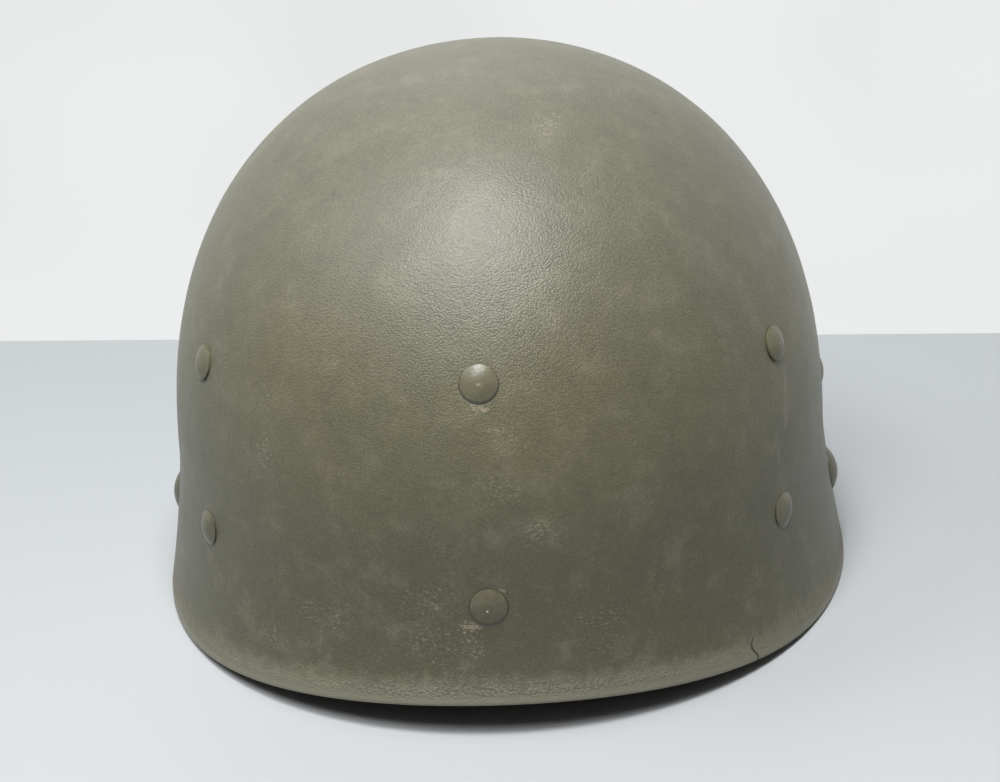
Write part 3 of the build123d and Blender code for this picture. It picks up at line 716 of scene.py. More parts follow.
def heightOverRim(tree, parts, form):
    height = parts["Z"]
    for way, start, rise in ((1, "rearRiseStart", "rearRise"), (-1, "visorRiseStart", "visorRise")):
        run = form["length"] / 2 - form[start]
        past = calc(tree, "MAXIMUM", calc(tree, "MULTIPLY_ADD", parts["Y"], way, -form[start]), 0.0)
        climb = calc(tree, "MULTIPLY", calc(tree, "MULTIPLY", past, past), form[rise] / run**2)
        height = calc(tree, "SUBTRACT", height, climb)
    return height


def addCrack(tree, place, look):
    away = vectorCalc(tree, "SUBTRACT", place, look["crackPlace"])
    aside = vectorCalc(tree, "DOT_PRODUCT", away, look["crackAlong"], "Value")
    up = splitPlace(tree, away)["Z"]
    swing = calc(tree, "SINE", calc(tree, "MULTIPLY", up, math.pi / look["crackHalfHeight"]))
    offset = calc(tree, "ABSOLUTE", calc(tree, "MULTIPLY_ADD", swing, -look["crackSwing"], aside))
    line = rampBetween(tree, offset, 2 * look["crackHalfWidth"], look["crackHalfWidth"])
    tip = look["crackHalfHeight"]
    inside = rampBetween(tree, calc(tree, "ABSOLUTE", up), look["crackTaper"] * tip, tip)
    outside = rampBetween(tree, vectorCalc(tree, "LENGTH", away, result="Value"), *look["crackFade"])
    return calc(tree, "MULTIPLY", calc(tree, "MULTIPLY", line, inside), outside)


def paintedColour(tree, place, parts, look):
    broad = cloudNoise(tree, place, *look["broadNoise"])
    mottle = cloudNoise(tree, place, *look["mottleNoise"])
    veil = cloudNoise(tree, place, *look["veilNoise"])
    colour = look["paintCool"]
    # the crown is painted lighter and the lower wall darker: painted light from above and painted shade low
    # down
    for source, fade, paint in (
        (broad, "coolFade", "paint"),
        (mottle, "warmFade", "paintWarm"),
        (parts["Z"], "crownFade", "crownLitPaint"),
        (parts["Z"], "lowFade", "lowShadedPaint"),
        (veil, "veilPaleFade", "dusty"),
        (veil, "veilDarkFade", "pitAndShade"),
    ):
        colour = mixColour(tree, rampBetween(tree, source, *look[fade]), colour, look[paint])
    return colour


def addRimWear(tree, place, parts, colour, look, form):
    overRim = heightOverRim(tree, parts, form)
    ragged = calc(tree, "SUBTRACT", cloudNoise(tree, place, *look["rimNoise"]), 0.5)
    raggedHeight = calc(tree, "MULTIPLY_ADD", ragged, look["rimRagged"], overRim)
    band = rampBetween(tree, raggedHeight, *look["rimFade"])
    colour = coverWith(tree, colour, band, look["rimAmount"], look["rim"])
    lumps = useGroup(tree, pebbleGrain, {"Position": place, "Size": look["rimGrainSize"]})["Height"]
    ridges = calc(tree, "MULTIPLY", rampBetween(tree, lumps, *look["ridgeFade"]), band)
    colour = coverWith(tree, colour, ridges, look["ridgeAmount"], look["rimRidge"])
    behind = rampBetween(tree, parts["Y"], *look["behindFade"])    # worst at the middle of the rear
    holes = rampBetween(tree, cloudNoise(tree, place, *look["pitNoise"]), *look["pitFade"])
    pits = calc(tree, "MAXIMUM", holes, rampBetween(tree, lumps, *look["pitGrainFade"]))
    pits = calc(tree, "MULTIPLY", calc(tree, "MULTIPLY", pits, band), behind)
    colour = coverWith(tree, colour, pits, look["pitAmount"], look["pitAndShade"])
    edge = rampBetween(tree, overRim, *look["edgeFade"])
    colour = coverWith(tree, colour, edge, look["edgeAmount"], look["rimEdge"])
    rough = calc(tree, "MULTIPLY", band, calc(tree, "SUBTRACT", 1.0, edge))
    height = calc(tree, "MULTIPLY", calc(tree, "MULTIPLY_ADD", pits, look["pitDepth"], lumps), rough)
    return colour, rough, height


def addHeadSeamShadow(tree, place, look, plan):
    # a dark joint round each head with painted shadow under it: its ring sits a little low, so the dark line
    # shows under each head
    lowered = vectorCalc(tree, "ADD", place, (0, 0, look["seamShadowDrop"]))
    past = None
    for distances, radius in ((rivetDistance, plan["headRadius"]), (studDistance, plan["studRadius"])):
        away = useGroup(tree, distances, {"Position": lowered})["Distance"]
        away = calc(tree, "SUBTRACT", away, radius)
        past = away if past is None else calc(tree, "MINIMUM", past, away)
    return rampBetween(tree, past, *look["seamShadowFade"])


def buildShellPaint(look, form, plan):
    material, tree, shader, place = newMaterial("shellPaint", specular=look["specular"])
    parts = splitPlace(tree, place)
    colour = paintedColour(tree, place, parts, look)
    grain = useGroup(tree, pebbleGrain, {"Position": place, "Size": look["grainSize"]})["Height"]
    flat = vectorCalc(tree, "MULTIPLY", place, look["speckleStretch"])
    speckle = rampBetween(tree, cloudNoise(tree, flat, *look["speckleNoise"]), *look["speckleFade"])
    clusters = cloudNoise(tree, place, *look["clusterNoise"])
    flecks = calc(tree, "MULTIPLY", speckle, rampBetween(tree, clusters, *look["clusterFade"]))
    colour = coverWith(tree, colour, flecks, look["fleckAmount"], look["dusty"])
    # the grain's ridges are paler and its valleys darker, the valleys with dirt and painted shade
    colour = mixColour(tree, rampBetween(tree, grain, *look["grainPaleFade"]), colour, look["dusty"])
    colour = mixColour(tree, rampBetween(tree, grain, *look["grainDarkFade"]), colour, look["pitAndShade"])

    dust = addMarks(tree, place, scuffPatch, patchSockets, look["dustPatches"])
    colour = coverWith(tree, colour, dust, look["dustAmount"], look["dusty"])
    rubs = addMarks(tree, place, scuffPatch, patchSockets, look["rubs"])
    colour = coverWith(tree, colour, rubs, look["rubAmount"], look["rubbed"])
    scratches = addMarks(tree, place, lineMark, lineSockets, look["scratches"])
    colour = mixColour(tree, scratches, colour, look["scratch"])
    drips = addMarks(tree, place, lineMark, lineSockets, look["drips"])
    colour = mixColour(tree, drips, colour, look["rubbed"])
    colour, band, bandHeight = addRimWear(tree, place, parts, colour, look, form)
    # dark joint and painted shadow round and under the rivet heads
    seam = addHeadSeamShadow(tree, place, look, plan)
    colour = coverWith(tree, colour, seam, look["seamShadowAmount"], look["pitAndShade"])
    crack = addCrack(tree, place, look)
    colour = mixColour(tree, crack, colour, look["crack"])

    worn = calc(tree, "MAXIMUM", rubs, band)
    dull = calc(tree, "MULTIPLY_ADD", worn, look["wornDulling"], look["roughness"])
    dull = calc(tree, "SUBTRACT", dull, look["clusterDulling"] / 2)
    dull = calc(tree, "MULTIPLY_ADD", clusters, look["clusterDulling"], dull)
    height = grain
    marks = {"rubs": rubs, "rim": bandHeight, "seam": seam, "crack": crack, "drips": drips}
    for name, mask in marks.items():
        height = calc(tree, "MULTIPLY_ADD", mask, look["heights"][name], height)
    wireShader(tree, shader, colour, dull, height, look["grainDepth"])
    return material


rivetPaint = {
    # painted shadow: a dark ring on the lower edge of each head
    "edge": srgb(60, 57, 45),
    "worn": srgb(146, 141, 124),
    # painted glint: a small pale spot on the lower middle rivet's head stands in for a highlight
    "glint": srgb(226, 224, 214),
    "glintPlace": (0.0004, 0.1300, 0.0396),
    "glintReach": 0.00050,
    "shadowLift": 0.0006,
    "shadowShares": (0.97, 1.05),    # of the head's radius
    "edgeAmount": 0.60,
    "rubNoise": (520.0, 5.0, 0.7),
    "rubFade": (0.35, 0.80, 0.0, 0.22),
    "rubDulling": 0.2,
    "roughness": 0.34,
    "grainNoise": (900.0, 4.0, 0.6),
    "grainDepth": 0.00012,
}


def buildRivetPaint(name, look, paint, distances, radius):
    material, tree, shader, place = newMaterial(name, specular=paint["specular"])
    colour = paintedColour(tree, place, splitPlace(tree, place), paint)
    # painted shadow: measured from a centre set a little higher, the dark ring lies on the head's lower edge
    raised = vectorCalc(tree, "SUBTRACT", place, (0, 0, look["shadowLift"]))
    away = useGroup(tree, distances, {"Position": raised})["Distance"]
    rub = rampBetween(tree, cloudNoise(tree, place, *look["rubNoise"]), *look["rubFade"])
    colour = mixColour(tree, rub, colour, look["worn"])
    inner, outer = (radius * share for share in look["shadowShares"])
    edge = rampBetween(tree, away, inner, outer, 0.0, look["edgeAmount"])
    colour = mixColour(tree, edge, colour, look["edge"])
    # painted glint on the head
    glint = vectorCalc(tree, "DISTANCE", place, look["glintPlace"], "Value")
    glint = rampBetween(tree, glint, look["glintReach"], look["glintReach"] / 2)
    colour = mixColour(tree, glint, colour, look["glint"])
    dull = calc(tree, "MULTIPLY_ADD", rub, look["rubDulling"], look["roughness"])
    grain = cloudNoise(tree, place, *look["grainNoise"])
    wireShader(tree, shader, colour, dull, grain, look["grainDepth"])
    return material


# Inside of the shell, cotton duck showing through its resin

duckCloth = {
    "resin": srgb(82, 72, 46),
    "thread": srgb(112, 100, 68),
    "stain": srgb(58, 50, 34),
    "threadPitch": 0.0011,
    "meanRadius": 0.105,
    "crownFade": (0.118, 0.136),
    "weaveFade": (-0.6, 0.8),
    "stainNoise": (22.0, 5.0, 0.65),
    "stainFade": (0.45, 0.75, 0.0, 0.8),
    "stainHeight": 1.5,
    "roughnessFade": (0.3, 0.8, 0.42, 0.66),
    "depth": 0.00016,
}


def threadRows(tree, way, turns):
    return calc(tree, "SINE", calc(tree, "MULTIPLY", way, turns))


def buildShellInside(look):
    material, tree, shader, place = newMaterial("duckCloth")
    parts = splitPlace(tree, place)
    turns = 2 * math.pi / look["threadPitch"]
    around = calc(tree, "MULTIPLY", calc(tree, "ARCTAN2", parts["Y"], parts["X"]), look["meanRadius"])
    weave = calc(tree, "MULTIPLY", threadRows(tree, around, turns), threadRows(tree, parts["Z"], turns))
    overhead = threadRows(tree, parts["X"], turns)    # the cloth lies flat over the crown
    overhead = calc(tree, "MULTIPLY", overhead, threadRows(tree, parts["Y"], turns))
    crown = rampBetween(tree, parts["Z"], *look["crownFade"])
    kept = calc(tree, "MULTIPLY", weave, calc(tree, "SUBTRACT", 1.0, crown))
    weave = calc(tree, "MULTIPLY_ADD", overhead, crown, kept)
    stain = cloudNoise(tree, place, *look["stainNoise"])
    colour = mixColour(tree, rampBetween(tree, weave, *look["weaveFade"]), look["resin"], look["thread"])
    colour = mixColour(tree, rampBetween(tree, stain, *look["stainFade"]), colour, look["stain"])
    dull = rampBetween(tree, stain, *look["roughnessFade"])
    height = calc(tree, "MULTIPLY_ADD", stain, look["stainHeight"], weave)
    wireShader(tree, shader, colour, dull, height, look["depth"])
    return material


shellMesh = {
    "columns": 256,
    "rows": 120,
    "crownRowShare": 0.8,
    "rimPasses": 6,
    "roundingSteps": 3,
    "unevenness": 0.00012,
    "broadWaves": 38,
    "fineWaves": 90,
    "fineShare": 0.5,
    "calmHeight": 0.02,
    "sharpDegrees": 60,
}


def shellPoint(form, meshing, turn, share):
    split = meshing["crownRowShare"]    # share runs from the crown to the rim
    toRear = math.sin(turn) >= 0
    if share <= split:
        lift = math.cos(share / split * math.pi / 2)
        height = form["waistHeight"] + (form["height"] - form["waistHeight"]) * lift
    else:
        edge = 0.0
        for _ in range(meshing["rimPasses"]):
            edge = rimHeight(form, shellReach(form, edge, toRear) * math.sin(turn))
        height = form["waistHeight"] + (edge - form["waistHeight"]) * (share - split) / (1 - split)
    return Vector((
        shellHalfWidth(form, height) * math.cos(turn),
        shellReach(form, height, toRear) * math.sin(turn),
        height,
    ))


def moulded(form, meshing, place):
    # the mould's unevenness, which dies out at the rim
    out = Vector((place.x, place.y, place.z - form["waistHeight"])).normalized()
    calm = smoothStep(0.0, meshing["calmHeight"], place.z)
    fine = meshing["fineShare"] * noise.noise(place * meshing["fineWaves"])
    waves = noise.noise(place * meshing["broadWaves"]) + fine
    return place + out * meshing["unevenness"] * calm * waves


def buildShell(form, meshing, outside, inside):
    deselectAll()
    bpy.ops.mesh.primitive_uv_sphere_add(
        segments=meshing["columns"],
        ring_count=2 * meshing["rows"],
        radius=1,
    )
    shell = bpy.context.object
    shell.name = "paintedShell"
    paintWith(shell, outside, inside)
    selectWhere(shell, lambda place: place.z < -0.001)
    bpy.ops.mesh.delete(type="VERT")
    bpy.ops.object.mode_set(mode="OBJECT")
    for vertex in shell.data.vertices:
        x, y, z = vertex.co
        share = math.acos(min(max(z, 0), 1)) / (math.pi / 2)
        if share > 0:
            vertex.co = shellPoint(form, meshing, math.atan2(y, x), min(share, 1))
        else:
            vertex.co = (0, 0, form["height"])
        vertex.co = moulded(form, meshing, vertex.co)
    applyModifier(shell, "SOLIDIFY", thickness=form["wall"], offset=-1, material_offset=1)
    for vertex in shell.data.vertices:
        vertex.co.z = max(vertex.co.z, rimHeight(form, vertex.co.y))
    bevelEdges(shell, form["rounding"], meshing["roundingSteps"])
    shadeSmooth(shell, meshing["sharpDegrees"])
    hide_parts("shell")
    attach(shell, "helmet")
    return shell


shellOutside = buildShellPaint(shellPaint, shellForm, rivetPlan)
shellInside = buildShellInside(duckCloth)
shellPiece = buildShell(shellForm, shellMesh, shellOutside, shellInside)
headPaint = buildRivetPaint("rivetPaint", rivetPaint, shellPaint, rivetDistance, rivetPlan["headRadius"])
studPaint = buildRivetPaint("studPaint", rivetPaint, shellPaint, studDistance, rivetPlan["studRadius"])
for name in ("suspension_rivets", "side_rivets", "nape_rivets"):
    paintWith(nodes[name], headPaint)
paintWith(nodes["chin_studs"], studPaint)
print("shell built and painted,", len(shellPiece.data.polygons), "faces")


# Strips and tubes, each drawn as rows of points that a grid is laid on

def gridFromRows(name, rows):
    along, across = len(rows) - 1, len(rows[0]) - 1
    middle = [row[across // 2] for row in rows]
    reach = [0.0]
    for first, second in zip(middle, middle[1:]):
        reach.append(reach[-1] + (second - first).length)
    halfway = rows[along // 2]
    width = sum((second - first).length for first, second in zip(halfway, halfway[1:]))
    deselectAll()
    bpy.ops.mesh.primitive_grid_add(x_subdivisions=along, y_subdivisions=across, size=1)
    piece = bpy.context.object
    piece.name = name
    mesh = piece.data
    mesh.uv_layers.active.name = "strapWay"
    for item in mesh.uv_layers.active.data:
        item.uv = (reach[round(item.uv.x * along)], item.uv.y * width)    # metres along and across
    for vertex in mesh.vertices:    # the new grid is 1 across, its middle at the origin
        row = rows[round((vertex.co.x + 0.5) * along)]
        vertex.co = row[round((vertex.co.y + 0.5) * across)]
    bpy.ops.object.mode_set(mode="EDIT")
    bpy.ops.mesh.select_all(action="SELECT")
    bpy.ops.mesh.remove_doubles(threshold=0.000002)
    turnFacesOut()
    return piece


def finishPiece(piece, node, body, material):
    shadeSmooth(piece)
    paintWith(piece, material)
    if node:
        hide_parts(node)
    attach(piece, body)


def stripFromRows(name, rows, thickness, edge, bevelSteps=2):
    piece = gridFromRows(name, rows)
    applyModifier(piece, "SOLIDIFY", thickness=thickness, offset=0)
    turnFacesOut()
    bevelEdges(piece, edge, bevelSteps)
    return piece


def evenly(points, count):
    reach = [0.0]    # how far along the line each point stands
    for first, second in zip(points, points[1:]):
        reach.append(reach[-1] + (second - first).length)
    result = []
    step = 0
    for index in range(count + 1):
        wanted = reach[-1] * index / count
        while step < len(points) - 2 and reach[step + 1] < wanted:
            step += 1
        span = reach[step + 1] - reach[step]
        share = (wanted - reach[step]) / span if span else 0
        result.append(points[step].lerp(points[step + 1], share))
    return result


def onCurve(start, bend, end, share):
    return start * (1 - share) ** 2 + bend * 2 * share * (1 - share) + end * share**2


tubeTip = (0.0, 0.62, 0.88)    # shares of the radius at an open end, which is drawn in until it is shut


def tubeRows(points, radius, sides, closed):
    count = len(points)
    rows = []
    side = None
    for index, point in enumerate(points):
        before = points[index - 1] if index else (points[-2] if closed else point)
        after = points[index + 1] if index < count - 1 else (points[1] if closed else point)
        way = (after - before).normalized()
        if side is None:
            side = way.cross(Vector((0, 0, 1))).normalized()
        side = (side - way * side.dot(way)).normalized()
        other = way.cross(side)
        size = radius
        fromEnd = min(index, count - 1 - index)
        if not closed and fromEnd < len(tubeTip):
            size = radius * tubeTip[fromEnd]
        turns = [2 * math.pi * turn / sides for turn in range(sides)] + [0.0]
        rows.append([point + (side * math.cos(turn) + other * math.sin(turn)) * size for turn in turns])
    return rows


def joinPieces(name, pieces):
    makeActive(pieces[0])
    for piece in pieces:
        piece.select_set(True)
    bpy.ops.object.join()
    pieces[0].name = name
    return pieces[0]


stitchForm = {
    "length": 0.0024,
    "pitch": 0.0034,
    "radius": 0.00034,
    "bend": 0.00035,
    "segments": 8,
    "rings": 6,
}


def sewStitches(name, form, places):
    deselectAll()
    bpy.ops.mesh.primitive_uv_sphere_add(segments=form["segments"], ring_count=form["rings"], radius=1)
    stitch = bpy.context.object
    for vertex in stitch.data.vertices:
        x, y, z = vertex.co
        vertex.co = (z * form["length"] / 2, x * form["radius"], y * form["radius"] - z * z * form["bend"])
    row = bmesh.new()
    for place, along, out in places:
        away = (out - along * out.dot(along)).normalized()
        turn = Matrix((along, away.cross(along), away)).transposed().to_4x4()
        stitchCopy = stitch.data.copy()
        stitchCopy.transform(Matrix.Translation(place) @ turn)
        row.from_mesh(stitchCopy)
        bpy.data.meshes.remove(stitchCopy)
    row.to_mesh(stitch.data)
    row.free()
    stitch.name = name
    makeActive(stitch)
    turnFacesOut()
    return stitch


def seamBetween(first, second, out, form):
    length = (second - first).length
    count = max(int(length / form["pitch"]), 1)
    along = (second - first).normalized()
    return [(first + along * (step + 0.5) * length / count, along, out) for step in range(count)]


# Cloth, leather and metal finishes

weaveForm = {
    "beadSlant": (1.6, 1.9),    # along and across the strap
    "beadHeight": 0.35,
    "fuzzNoise": (2600.0, 3.0, 0.7),
    "fuzzHeight": 0.7,
}


def buildWeave(form):
    group, given, result = newGroup(
        "herringboneWeave",
        [
            ("Way", "NodeSocketVector", None),
            ("Pitch", "NodeSocketFloat", 0.0011),
            ("Stripe", "NodeSocketFloat", 0.004),
        ],
        [("Height", "NodeSocketFloat"), ("Fuzz", "NodeSocketFloat")],
    )
    parts = splitPlace(group, given["Way"])
    zigzag = calc(group, "PINGPONG", parts["Y"], given["Stripe"])
    turns = calc(group, "DIVIDE", 2 * math.pi, given["Pitch"])
    diagonal = threadRows(group, calc(group, "ADD", parts["X"], zigzag), turns)
    along, across = form["beadSlant"]
    beads = calc(group, "MULTIPLY", zigzag, across)
    beads = calc(group, "SUBTRACT", calc(group, "MULTIPLY", parts["X"], along), beads)
    beads = threadRows(group, beads, turns)
    fuzz = cloudNoise(group, given["Way"], *form["fuzzNoise"])
    height = calc(group, "MULTIPLY_ADD", beads, form["beadHeight"], diagonal)
    height = calc(group, "MULTIPLY_ADD", fuzz, form["fuzzHeight"], height)
    group.links.new(height, result.inputs["Height"])
    group.links.new(fuzz, result.inputs["Fuzz"])
    return group


grimeForm = {"cloud": (6.0, 0.65, 0.4), "fade": (0.42, 0.70)}


def buildGrime(form):
    group, given, result = newGroup(
        "grime",
        [
            ("Position", "NodeSocketVector", None),
            ("Scale", "NodeSocketFloat", 40.0),
            ("Cover", "NodeSocketFloat", 0.5),
        ],
        [("Mask", "NodeSocketFloat")],
    )
    cloud = cloudNoise(group, given["Position"], given["Scale"], *form["cloud"])
    level = calc(group, "ADD", cloud, calc(group, "SUBTRACT", given["Cover"], 0.5))
    group.links.new(rampBetween(group, level, *form["fade"]), result.inputs["Mask"])
    return group


herringboneWeave = buildWeave(weaveForm)
grime = buildGrime(grimeForm)


def buildWebbing(name, look):
    material, tree, shader, place = newMaterial(name, specular=look["specular"])
    shader.inputs["Sheen Weight"].default_value = look["sheen"]
    way = addNode(tree, "ShaderNodeUVMap", uv_map="strapWay").outputs[0]
    weave = useGroup(tree, herringboneWeave, {"Way": way, "Pitch": look["pitch"], "Stripe": look["stripe"]})
    threads = rampBetween(tree, weave["Height"], *look["threadFade"])
    colour = mixColour(tree, threads, look["shade"], look["thread"])
    colour = mixColour(tree, rampBetween(tree, weave["Fuzz"], *look["fibreFade"]), colour, look["fibre"])
    given = {"Position": place, "Scale": look["stainScale"], "Cover": look["stainCover"]}
    stain = useGroup(tree, grime, given)["Mask"]
    colour = coverWith(tree, colour, stain, look["stainAmount"], look["stain"])
    dull = calc(tree, "MULTIPLY_ADD", stain, look["stainPolish"], look["roughness"])
    wireShader(tree, shader, colour, dull, weave["Height"], look["depth"])
    return material


webbingLook = {
    "thread": srgb(132, 126, 90),
    "shade": srgb(86, 82, 56),
    "fibre": srgb(158, 152, 118),
    "stain": srgb(74, 66, 44),
    "roughness": 0.88,
    "specular": 0.25,
    "sheen": 0.25,
    "pitch": 0.0012,
    "stripe": 0.0040,
    "depth": 0.00022,
    "threadFade": (-0.9, 1.2),
    "fibreFade": (0.5, 0.8, 0.0, 0.35),
    "stainScale": 26.0,
    "stainCover": 0.42,
    "stainAmount": 0.6,
    "stainPolish": -0.14,
}
laceLook = dict(
    webbingLook,
    thread=srgb(168, 160, 124),
    shade=srgb(112, 104, 74),
    pitch=0.0016,
    stripe=0.0016,
    depth=0.0003,
)
webbing = buildWebbing("herringboneWebbing", webbingLook)
laceBraid = buildWebbing("braidedLace", laceLook)

leatherWear = {
    "specular": 0.45,
    "creaseStretch": (260.0, 45.0, 1.0),
    "creaseNoise": (1.0, 4.0, 0.6, 0.5),
    "creaseFade": (0.56, 0.66),
    "creaseAmount": 0.55,
    "creaseHeight": -1.6,
    "broadNoise": (30.0, 5.0, 0.6),
    "darkFade": (0.35, 0.70),
    "grainFade": (1.3, 2.2, 0.35, 0.0),
    "rubbedBand": 0.0022,
    "rubbedNoise": (300.0, 5.0, 0.7),
    "rubbedFade": (0.4, 0.65),
    "rubbedAmount": 0.7,
    "dulling": (0.25, -0.12),
}


def buildLeather(name, wear, look):
    material, tree, shader, place = newMaterial(name, specular=wear["specular"])
    way = addNode(tree, "ShaderNodeUVMap", uv_map="strapWay").outputs[0]
    across = splitPlace(tree, way)["Y"]
    grain = useGroup(tree, pebbleGrain, {"Position": place, "Size": look["grainSize"]})["Height"]
    creaseWay = vectorCalc(tree, "MULTIPLY", way, wear["creaseStretch"])
    creases = rampBetween(tree, cloudNoise(tree, creaseWay, *wear["creaseNoise"]), *wear["creaseFade"])
    broad = cloudNoise(tree, place, *wear["broadNoise"])
    colour = mixColour(tree, rampBetween(tree, broad, *wear["darkFade"]), look["hide"], look["hideDark"])
    colour = mixColour(tree, rampBetween(tree, grain, *wear["grainFade"]), colour, look["hideDark"])
    colour = coverWith(tree, colour, creases, wear["creaseAmount"], look["crease"])
    half = look["width"] / 2
    fromMiddle = calc(tree, "ABSOLUTE", calc(tree, "SUBTRACT", across, half))
    rubbed = rampBetween(tree, fromMiddle, half - wear["rubbedBand"], half)
    broken = rampBetween(tree, cloudNoise(tree, place, *wear["rubbedNoise"]), *wear["rubbedFade"])
    rubbed = calc(tree, "MULTIPLY", rubbed, broken)
    colour = coverWith(tree, colour, rubbed, wear["rubbedAmount"], look["rubbed"])
    swing, start = wear["dulling"]
    dull = calc(tree, "MULTIPLY_ADD", broad, swing, look["roughness"] + start)
    height = calc(tree, "MULTIPLY_ADD", creases, wear["creaseHeight"], grain)
    wireShader(tree, shader, colour, dull, height, look["depth"])
    return material


sweatLeather = buildLeather("sweatbandLeather", leatherWear, {
    "hide": srgb(126, 84, 50),
    "hideDark": srgb(84, 52, 30),
    "crease": srgb(56, 34, 21),
    "rubbed": srgb(158, 118, 80),
    "grainSize": 0.0008,
    "depth": 0.00010,
    "roughness": 0.46,
    "width": 0.028,
})
chinLeather = buildLeather("chinStrapLeather", leatherWear, {
    "hide": srgb(104, 62, 36),
    "hideDark": srgb(66, 38, 23),
    "crease": srgb(42, 25, 16),
    "rubbed": srgb(150, 104, 66),
    "grainSize": 0.0007,
    "depth": 0.00009,
    "roughness": 0.38,
    "width": 0.014,
})

metalWear = {
    "fineNoise": (900.0, 4.0, 0.7),
    "darkFade": (0.45, 0.75, 0.0, 0.45),
    "scratchStretch": (1600.0, 1600.0, 160.0),
    "scratchNoise": (1.0, 3.0, 0.6),
    "scratchFade": (0.62, 0.70),
    "scratchAmount": 0.5,
    "tarnishDulling": 0.22,
    "fineDulling": 0.12,
    "tarnishHeight": 0.4,
}


def buildMetal(name, wear, look):
    material, tree, shader, place = newMaterial(name, metallic=1.0)
    given = {"Position": place, "Scale": look["scale"], "Cover": look["cover"]}
    tarnish = useGroup(tree, grime, given)["Mask"]
    fine = cloudNoise(tree, place, *wear["fineNoise"])
    scratchPlace = vectorCalc(tree, "MULTIPLY", place, wear["scratchStretch"])
    scratches = cloudNoise(tree, scratchPlace, *wear["scratchNoise"])
    scratches = rampBetween(tree, scratches, *wear["scratchFade"])
    colour = mixColour(tree, tarnish, look["bare"], look["coat"])
    colour = mixColour(tree, rampBetween(tree, fine, *wear["darkFade"]), colour, look["dark"])
    colour = coverWith(tree, colour, scratches, wear["scratchAmount"], look["bright"])
    metallic = calc(tree, "MULTIPLY_ADD", tarnish, look["coatMetallic"] - 1.0, 1.0)
    feed(tree, shader, {"Metallic": metallic})
    dull = calc(tree, "MULTIPLY_ADD", tarnish, wear["tarnishDulling"], look["roughness"])
    dull = calc(tree, "MULTIPLY_ADD", fine, wear["fineDulling"], dull)
    height = calc(tree, "MULTIPLY_ADD", tarnish, wear["tarnishHeight"], fine)
    wireShader(tree, shader, colour, dull, height, look["depth"])
    return material


washerPaint = buildMetal("paintedWasher", metalWear, {
    "bare": srgb(132, 130, 122),
    "coat": srgb(88, 88, 62),
    "dark": srgb(62, 60, 44),
    "bright": srgb(170, 168, 158),
    "coatMetallic": 0.0,
    "cover": 0.80,
    "scale": 160.0,
    "roughness": 0.40,
    "depth": 0.00008,
})
clipSteel = buildMetal("phosphatedClip", metalWear, {
    "bare": srgb(118, 116, 110),
    "coat": srgb(58, 58, 54),
    "dark": srgb(40, 38, 34),
    "bright": srgb(160, 158, 150),
    "coatMetallic": 0.8,
    "cover": 0.72,
    "scale": 150.0,
    "roughness": 0.34,
    "depth": 0.00006,
})
slideSteel = buildMetal("darkenedSlide", metalWear, {
    "bare": srgb(128, 124, 112),
    "coat": srgb(66, 62, 50),
    "dark": srgb(46, 42, 34),
    "bright": srgb(176, 170, 152),
    "coatMetallic": 0.8,
    "cover": 0.62,
    "scale": 150.0,
    "roughness": 0.32,
    "depth": 0.00006,
})
oldBrass = buildMetal("oldBrass", metalWear, {
    "bare": srgb(176, 142, 78),
    "coat": srgb(96, 76, 42),
    "dark": srgb(62, 48, 28),
    "bright": srgb(212, 182, 112),
    "coatMetallic": 1.0,
    "cover": 0.55,
    "scale": 170.0,
    "roughness": 0.28,
    "depth": 0.00005,
})
hardware = {
    washerPaint: ("a_washers", "side_washers", "nape_washers", "chin_stud_washers"),
    clipSteel: ("headband_clips",),
    slideSteel: ("headband_buckle", "nape_buckle"),
    oldBrass: ("chin_buckle", "chin_strap_eyelets", "nape_snaps"),
}
for material, names in hardware.items():
    for name in names:
        paintWith(nodes[name], material)
print("finishes made, hardware painted")


# Suspension band, a six-cornered ring that lies on the shell at its corners

bandForm = {
    "bottom": 0.056,
    "height": 0.024,
    "web": 0.0012,
    "cornerOut": 0.0038,
    "cornerRounding": 0.0012,
    "facing": 0.2,    # sides turned further away than this are left out
    "steps": 288,
    "rows": 8,
    "edge": 0.00035,
}
strapTurns = {name: math.atan2(seat.x, seat.y) for name, seat in suspensionSeats.items()}


def bandCorners(form, band, turns):
    inset = form["wall"] + band["web"]
    corners = []
    for turn in turns.values():
        point = wallPoint(form, band["bottom"] + band["height"] / 2, inset, turn)
        corners.append(point.xy.normalized() * (point.xy.length + band["cornerOut"]))
    return corners


def bandRows(form, band, turns):
    corners = bandCorners(form, band, turns)
    sides = []
    for first, second in zip(corners, corners[1:] + corners[:1]):
        out = Vector(((second - first).y, -(second - first).x)).normalized()
        out = out if out.dot(first) > 0 else -out
        sides.append((out, first.dot(out) - band["web"] / 2))
    rows = []
    for step in range(band["steps"] + 1):
        turn = 2 * math.pi * step / band["steps"]
        way = Vector((math.sin(turn), math.cos(turn)))
        flat = min(distance / out.dot(way) for out, distance in sides if out.dot(way) > band["facing"])
        row = []
        for level in range(band["rows"] + 1):
            height = band["bottom"] + band["height"] * level / band["rows"]
            # the middle of the band keeps clear of the wall by the strap under it
            wall = wallPoint(form, height, form["wall"] + 1.5 * band["web"], turn).xy.length
            blend = max(band["cornerRounding"] - abs(flat - wall), 0) / band["cornerRounding"]
            reach = min(flat, wall) - blend * blend * band["cornerRounding"] / 4
            row.append(Vector((way.x * reach, way.y * reach, height)))
        rows.append(row)
    return rows


def layWebbing(name, node, rows):
    piece = stripFromRows(name, rows, bandForm["web"], bandForm["edge"])
    finishPiece(piece, node, "helmet", webbing)


layWebbing("suspensionWebbing", "suspension_band", bandRows(shellForm, bandForm, strapTurns))
print("suspension band laid")


# Crown straps, from behind the suspension band up to their hems on the crown lace

